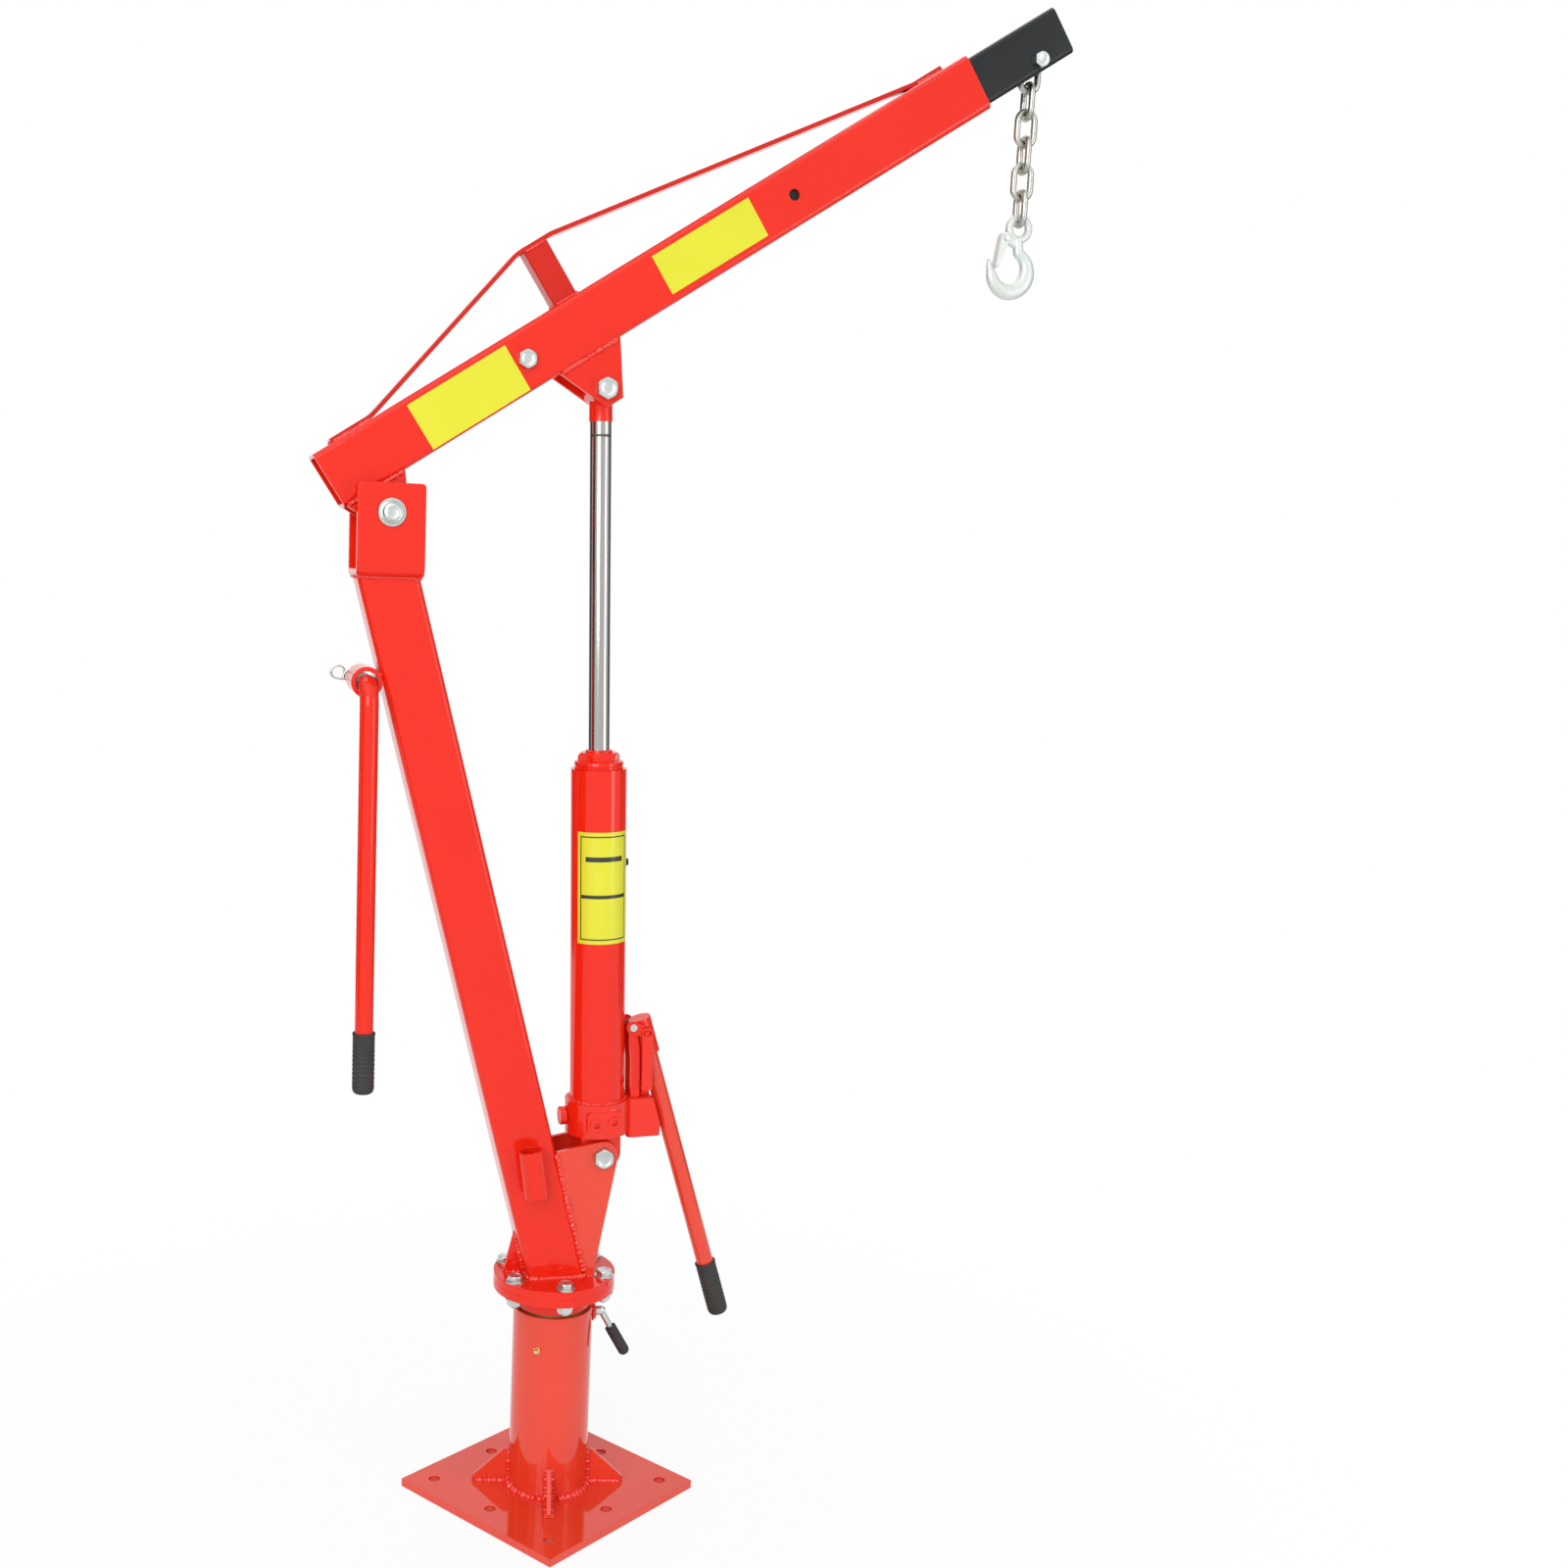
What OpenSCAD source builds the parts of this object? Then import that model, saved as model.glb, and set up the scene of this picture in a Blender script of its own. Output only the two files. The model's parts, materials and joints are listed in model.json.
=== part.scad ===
// Swivel jib crane: a bolted pedestal, a leaning mast, a boom lifted by a long hydraulic jack,
// a sliding extension, and a chain with a latched hook.
// Millimetres, +Z up. The origin is the centre of the base plate's underside, on the swivel axis.
// The boom points along +X and the jack works in the XZ plane.

/* [Base] */
// Side of the square base plate
base_side = 255; // [235:1:320]
// Thickness of the base plate
base_t = 10; // [6:1:16]
// Turn of the base plate under the boom, as parked
base_turn = 34; // [0:1:90]
// Spacing of the outer rows of anchor holes
hole_pitch = 198; // [170:1:215]
// Diameter of the anchor holes
hole_d = 14; // [10:0.5:20]
// Radial length of a foot gusset
gusset_len = 45; // [25:1:60]
// Height of a foot gusset
gusset_h = 42; // [20:1:70]
// Thickness of the gussets
gusset_t = 6; // [4:0.5:10]

/* [Post] */
// Outside diameter of the post
post_od = 97; // [88:1:104]
// Wall of the post
post_wall = 4; // [3:0.5:6]
// Height of the post above its plate
post_h = 231; // [190:1:320]
// Wall of the swivel bushes
bush_wall = 2.5; // [1.5:0.5:4]
// Length of each swivel bush
bush_len = 30; // [15:1:36]
// Drop of the upper bush below the post's mouth
bush_drop = 26; // [22:1:40]
// Thickness of the thrust washer on the post
washer_t = 3; // [2:0.5:5]
// Height of the grease nipple below the post's mouth
nipple_drop = 40; // [32:1:50]
// Bearing of the grease nipple round the post
nipple_turn = -123; // [-160:1:-60]

/* [Swivel lock] */
// Drop of the lock screw below the post's mouth
lock_drop = 13; // [11:0.5:15]
// Diameter of the lock screw
lock_d = 12; // [8:1:12]
// Outside diameter of the boss that takes the lock screw
lock_boss_d = 20; // [18:1:22]
// Length of that boss outside the post
lock_boss_len = 4; // [3:0.5:10]
// Diameter of the lock lever's rod
lever_d = 8; // [6:0.5:10]
// Angle between the lock screw and its lever
lever_bend = 60; // [45:1:75]
// Length of the bare lever
lever_len = 26; // [18:1:40]
// Diameter of the lever's grip
lever_grip_d = 14; // [12:0.5:18]
// Length of the lever's grip
lever_grip_len = 42; // [30:1:60]

/* [Swivel head] */
// Wall of the spindle
spindle_wall = 5; // [3:0.5:8]
// Gap between the spindle and the base plate
spindle_foot = 15; // [5:1:30]
// How far the collar stands in from the post's side
collar_step = 3.5; // [2:0.5:5]
// Height of the collar under the flanges
collar_h = 22; // [20:1:40]
// Diameter of both flanges
flange_od = 148; // [142:1:180]
// Thickness of each flange
flange_t = 10; // [6:1:14]
// Bolt circle of the flanges
flange_pcd = 126; // [122:1:128]
// Number of flange bolts
flange_n = 6; // [6:6:6]
// Bearing of the first flange bolt
flange_turn = 30; // [26:1:34]
// Diameter of the flange bolts
flange_bolt_d = 10; // [8:1:10]

/* [Mast] */
// Depth of the mast tube, fore and aft
mast_depth = 68; // [60:1:72]
// Width of the mast tube, across
mast_width = 62; // [56:1:66]
// Wall of the mast tube
mast_wall = 4; // [3:0.5:6]
// Outer corner radius of the mast tube
mast_corner = 8; // [6.5:0.5:10]
// Lean of the mast to the back
mast_lean = 14.7; // [12:0.1:17]
// Offset of the mast's foot from the swivel axis
mast_foot = -3; // [-6:0.5:0]
// Height of the mast from flange to clevis
mast_h = 829; // [780:1:880]
// Height of the gusset behind the mast's foot
mast_gusset_h = 52; // [30:1:80]
// Reach of that gusset on the flange
mast_gusset_len = 26; // [18:1:30]

/* [Boom clevis] */
// Gap between the clevis cheeks
clevis_gap = 76; // [72:1:90]
// Thickness of the clevis plate
clevis_t = 8; // [6:1:10]
// Length of the clevis, fore and aft
clevis_len = 75; // [66:1:90]
// Height of the clevis
clevis_h = 102; // [96:1:120]
// Outer bend radius of the clevis
clevis_bend = 13; // [11:1:18]
// Height of the boom pin above the clevis foot
pin_up = 70; // [62:1:74]
// Diameter of the boom pin
pin_d = 20; // [16:1:24]
// Diameter of the boom pin's head
pin_head_d = 31; // [28:1:36]
// Thickness of the boom pin's head and collar
pin_head_t = 6; // [4:0.5:9]

/* [Jack bracket] */
// Distance of the lower jack bolt from the swivel axis
jack_x = 48; // [44:0.5:54]
// Height of the lower jack bolt above the flanges
jack_up = 149.5; // [140:0.5:160]
// Diameter of both jack bolts
jack_d = 14; // [12:1:16]
// Thickness of the bracket's cheeks
cheek_t = 6; // [4:0.5:8]
// Radius of the cheeks round the lower jack bolt
cheek_r = 19; // [17:0.5:20]
// Length of the cheeks' foot in front of the mast
cheek_foot = 9; // [5:0.5:10]

/* [Boom] */
// Height of the boom tube
boom_height = 65; // [60:1:75]
// Width of the boom tube
boom_width = 62; // [58:1:66]
// Wall of the boom tube
boom_wall = 4; // [3:0.5:5]
// Outer corner radius of the boom tube
boom_corner = 7; // [6:0.5:9]
// Length of the boom tube
boom_len = 880; // [840:1:960]
// Length of the boom behind its pin
boom_tail = 39; // [30:1:60]
// Drop of the boom pin below the boom
boom_drop = 30.5; // [28:0.5:34]
// Rise of the boom above level
boom_rise = 33.5; // [31:0.1:35]
// Outside radius of the boom knuckle round its pin
knuckle_r = 21; // [18:0.5:24]
// Length of the knuckle along the boom
knuckle_len = 76; // [60:1:77]
// Thickness of the knuckle's plates and of the lift lugs
lug_t = 6; // [4:0.5:8]
// Distance of the lift bolt along the boom
lift_u = 282; // [272:1:292]
// Drop of the lift bolt below the boom pin's level
lift_drop = 9.5; // [4:0.5:14]
// Gap between the lift lugs
lift_gap = 40; // [34:1:48]
// Radius of the lift lugs round their bolt
lift_r = 19; // [16:0.5:24]
// Length of the lift lugs along the boom
lift_len = 81; // [60:1:100]

/* [Truss] */
// Width of the truss strap
strap_w = 30; // [20:1:40]
// Thickness of the truss strap
strap_t = 5; // [3:0.5:8]
// Bend radius of the truss strap
strap_bend = 40; // [20:1:60]
// Start of the strap along the boom
strap_start = -13; // [-25:1:0]
// Length of the strap's rear foot
strap_rear = 53; // [40:1:70]
// Length of the strap's front foot
strap_front = 40; // [30:1:60]
// Overall length of the strap along the boom
strap_len = 828; // [780:1:840]
// Distance of the strut's middle along the boom
strut_u = 295; // [280:1:320]
// Width of the strut tube
strut_w = 30; // [24:1:36]
// Wall of the strut tube
strut_wall = 3; // [2:0.5:5]
// Height of the strut
strut_h = 66; // [50:1:80]

/* [Extension] */
// Gap round the extension inside the boom
slide_gap = 0.6; // [0.4:0.1:0.9]
// Wall of the extension tube
ext_wall = 4; // [3:0.5:5]
// Length of the extension shown in front of the boom
ext_out = 125; // [115:1:160]
// Distance of the stop bolt along the boom
stop_u = 219; // [205:1:235]
// Distance from the stop bolt to the outer hole
stop_step = 362; // [320:1:400]
// Diameter of the stop bolt
stop_d = 12; // [10:1:12]
// Length of the extension behind the stop bolt
ext_tail = 30; // [20:1:45]
// Distance of the chain bolt from the extension's end
chain_back = 43; // [38:1:50]
// Drop of the chain bolt below the boom's centre line
chain_drop = 16; // [13:0.5:17]
// Diameter of the chain bolt
chain_bolt_d = 10; // [8:1:12]
// Width of the chain slot under the extension
slot_w = 34; // [32:1:36]
// Length of the chain slot
slot_len = 66; // [60:1:74]

/* [Chain and hook] */
// Wire of the chain
wire = 7.5; // [6.5:0.5:8]
// Pitch of the chain
pitch = 30.5; // [28:0.5:36]
// Outside width of a link
link_w = 29; // [26:0.5:30]
// Gap between neighbouring links
link_gap = 0.3; // [0.2:0.1:0.6]
// Wire of the hook's eye
eye_wire = 9; // [8:0.5:9.5]
// Mean radius of the hook's eye
eye_r = 12.5; // [12:0.5:16]
// Mean radius of the hook's bowl
bowl_r = 24; // [22:0.5:28]
// Depth of the bowl's centre below the eye
bowl_drop = 49; // [46:0.5:56]
// Offset of the bowl's centre from the eye
bowl_off = -10; // [-12:0.5:-8]
// Thickest half width of the hook
hook_half = 10; // [8.5:0.5:10.5]
// Sheet of the latch
latch_t = 1.2; // [0.8:0.1:1.6]
// Diameter of the latch's rivet
rivet_d = 4; // [3:0.5:5]

/* [Jack] */
// Diameter of the ram's rod
rod_d = 25; // [20:1:28]
// Outside diameter of the jack's barrel
barrel_od = 66; // [60:1:68]
// Wall of the jack's barrel
barrel_wall = 5; // [4:0.5:7]
// Top of the barrel above the lower bolt
barrel_top = 466; // [440:1:480]
// Across flats of the gland nut
gland_af = 44; // [36:1:48]
// Height of the gland's hexagon
gland_h = 10; // [8:1:16]
// Height of the gland's shoulder
gland_shoulder = 9; // [6:1:14]
// Depth of the gland inside the barrel
gland_plug = 18; // [10:1:24]
// Free length between the gland and the piston
piston_gap = 12; // [4:1:40]
// Length of the piston
piston_len = 30; // [20:1:45]
// Outside radius of the ram's eye
eye_boss_r = 18; // [15:0.5:20]
// Length of the red neck under the ram's eye
neck_len = 35; // [28:1:50]
// Diameter of the jack's cast collar
collar_d = 78; // [76:1:84]
// Bottom of the cast collar above the lower bolt
collar_low = 25; // [23:0.5:30]
// Height of the cast collar
cast_h = 41; // [34:1:60]
// Half width of the jack's foot
foot_half = 24; // [23:0.5:27]
// Thickness of the jack's foot across
foot_w = 44; // [36:1:46]
// Play of the foot's slot to each side of its bolt
foot_side = 10.5; // [10:0.1:11]
// Play of the foot's slot under its bolt
foot_under = 4.6; // [4.2:0.1:6]

/* [Pump] */
// Reach of the pump block from the jack's axis
block_out = 66; // [64:0.5:67]
// Width of the pump block across
block_w = 40; // [36:1:46]
// Bottom of the pump block above the lower bolt
block_low = 18; // [14:0.5:18.5]
// Top of the pump block above the lower bolt
block_top = 66; // [62:1:67]
// Distance of the plunger from the jack's axis
plunger_x = 56.8; // [56.5:0.1:57]
// Diameter of the plunger
plunger_d = 10; // [8:0.5:11]
// Outside diameter of the pump barrel
pump_od = 16; // [15:0.5:17]
// Height of the pump barrel
pump_h = 6; // [5:0.5:9]
// Distance of the fulcrum from the jack's axis
fulcrum_x = 40; // [39.5:0.1:40.5]
// Height of the fulcrum above the lower bolt
fulcrum_t = 154; // [150:1:160]
// Diameter of the fulcrum pin and of the trunnions
fulcrum_d = 6; // [5:0.5:7]
// Arm from fulcrum to trunnion
crank = 17.5; // [17:0.1:18]
// Angle of that arm below level, as parked
crank_low = 23.6; // [22:0.1:25]
// Distance of the handle's axis from the fulcrum
handle_off = 13.5; // [13.4:0.1:14.5]
// Lean of the parked handle from the jack's axis
handle_lean = 15.4; // [15:0.1:18]

/* [Handles] */
// Diameter of both handle bars
bar_d = 21; // [18:0.5:22]
// Diameter of the grips
grip_d = 26; // [24.5:0.5:30]
// Length of the grips
grip_len = 71; // [50:1:100]
// Wall of the pump handle's socket
socket_wall = 3.2; // [2.5:0.1:3.5]
// Length of the pump handle's socket
socket_len = 45; // [38:1:60]
// Length of the pump handle from its socket's end
pump_bar_len = 401; // [300:1:460]
// Length of the hanging swivel handle
swivel_bar_len = 462; // [380:1:520]
// Bend radius of the swivel handle
elbow_r = 22; // [18:1:30]
// Outside diameter of the sleeve that carries the swivel handle
sleeve_od = 35; // [32:0.5:40]
// Wall of that sleeve
sleeve_wall = 5; // [4:0.5:5.5]
// Depth of the sleeve below the mast's top
sleeve_down = 117; // [70:1:180]
// Outside diameter of the handle socket on the mast
mast_socket_od = 30; // [28:0.5:34]
// Wall of that socket
mast_socket_wall = 3.2; // [2.5:0.1:3.5]
// Length of that socket
mast_socket_len = 58; // [40:1:80]
// Height of that socket above the flanges
mast_socket_up = 139; // [120:1:160]
// Lean of that socket
mast_socket_lean = 9; // [6:0.5:12]

/* [Fits] */
// Running clearance of pins and shafts, on the radius
run_gap = 0.05; // [0.03:0.01:0.08]
// Clearance of seated pieces, on the radius
seat_gap = 0.02; // [0.01:0.01:0.05]
// Clearance of bolts in plain holes, on the radius
hole_gap = 0.5; // [0.3:0.1:0.8]
// Clearance of loose round pieces
loose_gap = 0.3; // [0.25:0.05:0.5]

/* [Hidden] */
$fn = 64;

// Levels of the pedestal
post_top = base_t + post_h;
collar_z = post_top + washer_t;
flange_z = collar_z + collar_h;
flange_top = flange_z + 2 * flange_t;
post_bore = post_od - 2 * post_wall;
spindle_od = post_bore - 2 * bush_wall - 2 * run_gap;
collar_od = post_od - 2 * collar_step;
lock_z = post_top - lock_drop;

// The mast's axis and the boom's pin
clevis_z = flange_top + mast_h;
pin_x = mast_foot - mast_h * tan(mast_lean);
pin_z = clevis_z + pin_up;
clevis_w = clevis_gap + 2 * clevis_t;
function mast_axis_x(z) = mast_foot - (z - flange_top) * tan(mast_lean);
mast_half = mast_depth / 2 / cos(mast_lean);

// Places in the boom's frame: u along the boom, w square to it, from the boom pin
function from_boom(u, w) = [
    pin_x + u * cos(boom_rise) - w * sin(boom_rise),
    pin_z + u * sin(boom_rise) + w * cos(boom_rise)
];
boom_mid = boom_drop + boom_height / 2;
boom_high = boom_drop + boom_height;
boom_front = boom_len - boom_tail;
ext_h = boom_height - 2 * boom_wall - 2 * slide_gap;
ext_w = boom_width - 2 * boom_wall - 2 * slide_gap;
ext_corner = boom_corner - 1;
ext_rear = stop_u - ext_tail;
ext_tip = boom_front + ext_out;
chain_u = ext_tip - chain_back;
chain_w = boom_mid - chain_drop;
chain_at = from_boom(chain_u, chain_w);

// The jack runs from the lower bolt to the lift bolt
jack_z = flange_top + jack_up;
lift_at = from_boom(lift_u, -lift_drop);
jack_len = norm([lift_at[0] - jack_x, lift_at[1] - jack_z]);
jack_tilt = atan2(lift_at[0] - jack_x, lift_at[1] - jack_z);
barrel_bore = barrel_od - 2 * barrel_wall;
barrel_low = collar_low + cast_h - 10;
rod_top = jack_len - neck_len;
rod_low = barrel_top - gland_plug - piston_gap;

// The chain hangs plumb from its bolt
link_half = (pitch + wire) / 2;
link_r = (link_w - wire) / 2;
link_step = pitch - link_gap;
link_top = chain_at[1] + chain_bolt_d / 2 + wire / 2 + link_gap - link_half;
function link_z(i) = link_top - (i - 1) * link_step;
link_n = 6;
eye_z = link_z(link_n) - link_half + (wire + eye_wire) / 2 + link_gap - eye_r;

// The handle that hangs behind the mast
sleeve_z = flange_top + mast_h - sleeve_down;
sleeve_x = mast_axis_x(sleeve_z) - mast_half - sleeve_od / 2 / cos(mast_lean);
sleeve_bore = sleeve_od - 2 * sleeve_wall;
leg_z = sleeve_z - (sleeve_bore - bar_d) / 2 + loose_gap;
leg_far = mast_width / 2 + 15;
leg_near = mast_width / 2 + 4;

// Colours as the object shows them
red = [0.83, 0.06, 0.05];
black = [0.06, 0.06, 0.07];
zinc = [0.78, 0.79, 0.78];
steel = [0.62, 0.62, 0.64];
brass = [0.80, 0.62, 0.25];

// A bore or pin across the crane, along Y
module across(d, len) {
    rotate([90, 0, 0])
        cylinder(d = d, h = len, center = true);
}

module round_rect(w, h, r) {
    square([w - 2 * r, h], center = true);
    square([w, h - 2 * r], center = true);
    for (x = [-1, 1], y = [-1, 1])
        translate([x * (w / 2 - r), y * (h / 2 - r)])
            circle(r);
}

module tube_section(w, h, r, wall) {
    difference() {
        round_rect(w, h, r);
        round_rect(w - 2 * wall, h - 2 * wall, max(r - wall, 1));
    }
}

// Bolt along +Z with its head under the origin and its nut at the far end of the grip
function across_flats(d) = 1.5 * d + 1.5;
function head_height(d) = 0.65 * d;
function nut_height(d) = 0.8 * d;

module hexagon(af, h) {
    cylinder(d = af / cos(30), h = h, $fn = 6);
}

module hex_bolt(d, len) {
    translate([0, 0, -head_height(d)])
        hexagon(across_flats(d), head_height(d));
    cylinder(d = d, h = len);
}

module hex_nut(d) {
    difference() {
        hexagon(across_flats(d), nut_height(d));
        translate([0, 0, -1])
            cylinder(r = d / 2 + run_gap, h = nut_height(d) + 2);
    }
}

// A bolt and its nut across the crane: head on the near side, grip from -half to half
module cross_bolt(d, half) {
    translate([0, -half, 0])
        rotate([-90, 0, 0])
            hex_bolt(d, 2 * half + 1.25 * nut_height(d));
    translate([0, half, 0])
        rotate([-90, 0, 0])
            hex_nut(d);
}

// Frames
module on_boom() {
    translate([pin_x, 0, pin_z])
        rotate([0, -boom_rise, 0])
            children();
}

module on_jack() {
    translate([jack_x, 0, jack_z])
        rotate([0, jack_tilt, 0])
            children();
}

module at_boom(u, w) {
    on_boom()
        translate([u, 0, w])
            children();
}

// Extrudes a profile drawn in (y, z) along X
module along_x(len) {
    rotate([90, 0, 90])
        linear_extrude(len)
            children();
}

// Extrudes a profile drawn in (x, z) across the crane
module plate_xz(y0, t) {
    translate([0, y0 + t, 0])
        rotate([90, 0, 0])
            linear_extrude(t)
                children();
}

// Point where a line from p touches a circle; side is 1 or -1
function touch(p, c, r, side) =
    let (v = p - c, d = norm(v), a = atan2(v[1], v[0]) + side * acos(r / d))
    c + r * [cos(a), sin(a)];

// Base plate with its 3 by 3 grid of anchor holes, open at the centre
module base_plate() {
    color(red)
        rotate([0, 0, base_turn])
            difference() {
                translate([-base_side / 2, -base_side / 2, 0])
                    cube([base_side, base_side, base_t]);
                for (i = [-1:1], j = [-1:1])
                    if (i != 0 || j != 0)
                        translate([i, j, 0] * hole_pitch / 2 - [0, 0, 1])
                            cylinder(d = hole_d, h = base_t + 2);
            }
}

// Four foot gussets on the plate's diagonals, each cut to the post
module base_gussets() {
    lip = 6;
    reach = post_od / 2 + gusset_len;
    color(red)
        difference() {
            for (a = [45:90:315])
                rotate([0, 0, base_turn + a])
                    plate_xz(-gusset_t / 2, gusset_t)
                        polygon([[0, base_t], [reach, base_t], [reach, base_t + lip],
                                 [post_od / 2 + lip, base_t + gusset_h], [0, base_t + gusset_h]]);
            cylinder(d = post_od, h = base_t + gusset_h + 1);
        }
}

module post_tube() {
    nipple_hole = 6;
    color(red)
        difference() {
            translate([0, 0, base_t])
                cylinder(d = post_od, h = post_h);
            translate([0, 0, base_t - 1])
                cylinder(d = post_bore, h = post_h + 2);
            translate([0, 0, lock_z])
                rotate([0, 90, 0])
                    cylinder(r = lock_d / 2 + hole_gap, h = post_od);
            translate([0, 0, post_top - nipple_drop])
                rotate([0, 90, nipple_turn])
                    cylinder(r = nipple_hole / 2 + seat_gap, h = post_od);
        }
}

module bush(z) {
    translate([0, 0, z])
        difference() {
            cylinder(r = post_bore / 2 - seat_gap, h = bush_len);
            translate([0, 0, -1])
                cylinder(r = spindle_od / 2 + run_gap, h = bush_len + 2);
        }
}

module swivel_bushes() {
    color(brass) {
        bush(post_top - bush_drop - bush_len);
        bush(base_t + spindle_foot + 5);
    }
}

module thrust_washer() {
    color(brass)
        translate([0, 0, post_top])
            difference() {
                cylinder(d = post_od - 9, h = washer_t);
                translate([0, 0, -1])
                    cylinder(r = spindle_od / 2 + hole_gap, h = washer_t + 2);
            }
}

// Grease nipple screwed through the post's wall
module grease_nipple() {
    color(brass)
        translate([0, 0, post_top - nipple_drop])
            rotate([0, 0, nipple_turn])
                rotate([0, 90, 0]) {
                    translate([0, 0, post_bore / 2 + 0.5])
                        cylinder(d = 6, h = post_wall);
                    translate([0, 0, post_od / 2 + 0.2])
                        hexagon(8, 3);
                    translate([0, 0, post_od / 2 + 3.2])
                        cylinder(d1 = 6.4, d2 = 4, h = 3);
                    translate([0, 0, post_od / 2 + 7])
                        sphere(d = 5);
                }
}

// Threaded boss welded to the post, cut to its round
module lock_boss() {
    color(red)
        difference() {
            translate([0, 0, lock_z])
                rotate([0, 90, 0])
                    cylinder(d = lock_boss_d, h = post_od / 2 + lock_boss_len);
            cylinder(d = post_od, h = 2 * post_top);
            translate([0, 0, lock_z])
                rotate([0, 90, 0])
                    cylinder(r = lock_d / 2 + run_gap, h = post_od);
        }
}

// The lever leaves the screw outside its boss and slants down and out
module along_lever() {
    translate([post_od / 2 + lock_boss_len + lock_d / 2 + 2, 0, lock_z])
        rotate([0, 90 + lever_bend, 0])
            children();
}

module lock_screw() {
    tip = spindle_od / 2 + loose_gap;
    hub = post_od / 2 + lock_boss_len + lock_d / 2 + 2;
    color(zinc) {
        translate([tip, 0, lock_z])
            rotate([0, 90, 0])
                cylinder(d = lock_d, h = hub - tip);
        translate([hub, 0, lock_z])
            sphere(d = lock_d);
        along_lever()
            cylinder(d = lever_d, h = lever_len + lever_grip_len - 5);
    }
}

module lock_grip() {
    end_r = lever_grip_d / 2 - 1;
    color(black)
        along_lever()
            translate([0, 0, lever_len])
                difference() {
                    union() {
                        cylinder(d = lever_grip_d, h = lever_grip_len - end_r);
                        translate([0, 0, lever_grip_len - end_r])
                            rotate_extrude()
                                intersection() {
                                    translate([1, 0])
                                        circle(end_r);
                                    square(lever_grip_d);
                                }
                        translate([0, 0, lever_grip_len - end_r])
                            cylinder(r = 1, h = end_r);
                    }
                    translate([0, 0, -1])
                        cylinder(r = lever_d / 2 + seat_gap, h = lever_grip_len - 5 + 1 + seat_gap);
                }
}

// Spindle that turns in the post, with the collar that rides on the thrust washer
module spindle() {
    low = base_t + spindle_foot;
    color(red)
        difference() {
            union() {
                translate([0, 0, low])
                    cylinder(d = spindle_od, h = flange_z - low);
                translate([0, 0, collar_z])
                    cylinder(d = collar_od, h = collar_h);
            }
            translate([0, 0, low - 1])
                cylinder(d = spindle_od - 2 * spindle_wall, h = flange_z - low + 2);
        }
}

module at_flange_bolts() {
    for (i = [0:flange_n - 1])
        rotate([0, 0, flange_turn + i * 360 / flange_n])
            translate([flange_pcd / 2, 0, 0])
                children();
}

module flange(z) {
    translate([0, 0, z])
        difference() {
            cylinder(d = flange_od, h = flange_t);
            at_flange_bolts()
                translate([0, 0, -1])
                    cylinder(r = flange_bolt_d / 2 + hole_gap, h = flange_t + 2);
        }
}

module lower_flange() {
    color(red)
        flange(flange_z);
}

module upper_flange() {
    color(red)
        flange(flange_z + flange_t);
}

module flange_bolts() {
    color(zinc)
        translate([0, 0, flange_top])
            at_flange_bolts()
                mirror([0, 0, 1])
                    hex_bolt(flange_bolt_d, 2 * flange_t + 1.4 * nut_height(flange_bolt_d));
}

module flange_nuts() {
    color(zinc)
        translate([0, 0, flange_z])
            at_flange_bolts()
                mirror([0, 0, 1])
                    hex_nut(flange_bolt_d);
}

// Mast tube, cut level at the flange and at the clevis
module mast_tube() {
    spare = mast_depth;
    color(red)
        intersection() {
            translate([mast_foot, 0, flange_top])
                rotate([0, -mast_lean, 0])
                    translate([0, 0, -spare])
                        linear_extrude(mast_h / cos(mast_lean) + 2 * spare)
                            tube_section(mast_depth, mast_width, mast_corner, mast_wall);
            translate([-mast_h, -mast_width, flange_top])
                cube([2 * mast_h, 2 * mast_width, mast_h]);
        }
}

module mast_gusset() {
    apex = flange_top + mast_gusset_h;
    back = mast_foot - mast_half;
    color(red)
        plate_xz(-gusset_t / 2, gusset_t)
            polygon([[back, flange_top], [back - mast_gusset_len, flange_top],
                     [mast_axis_x(apex) - mast_half, apex]]);
}

// Two cheeks in line with the mast's sides, butted on its front face
module jack_cheeks() {
    front = mast_foot + mast_half;
    bolt = [jack_x, jack_z];
    heel = [front + cheek_foot, flange_top];
    crown_z = jack_z + 8.5;
    crown = [mast_axis_x(crown_z) + mast_half, crown_z];
    color(red)
        for (y = [-mast_width / 2, mast_width / 2 - cheek_t])
            difference() {
                plate_xz(y, cheek_t) {
                    polygon([[front, flange_top], heel, touch(heel, bolt, cheek_r, 1), bolt,
                             touch(crown, bolt, cheek_r, -1), crown]);
                    translate(bolt)
                        circle(cheek_r);
                }
                translate([jack_x, 0, jack_z])
                    across(jack_d + 2 * run_gap, 2 * mast_width);
            }
}

module jack_bolt() {
    color(zinc)
        translate([jack_x, 0, jack_z])
            cross_bolt(jack_d, mast_width / 2);
}

// Clevis bent from plate, welded on the mast's top
module clevis() {
    top_r = 5;
    inner_r = clevis_bend - clevis_t;
    color(red)
        difference() {
            intersection() {
                translate([pin_x - clevis_len / 2, 0, clevis_z])
                    along_x(clevis_len)
                        difference() {
                            channel_blank(clevis_w, clevis_h, clevis_bend);
                            translate([0, clevis_t])
                                channel_blank(clevis_gap, clevis_h, inner_r);
                        }
                plate_xz(-clevis_w, 2 * clevis_w)
                    translate([pin_x, clevis_z])
                        side_blank(clevis_len, clevis_h, top_r);
            }
            translate([pin_x, 0, pin_z])
                across(pin_d + 2 * run_gap, 2 * clevis_w);
        }
}

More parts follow.
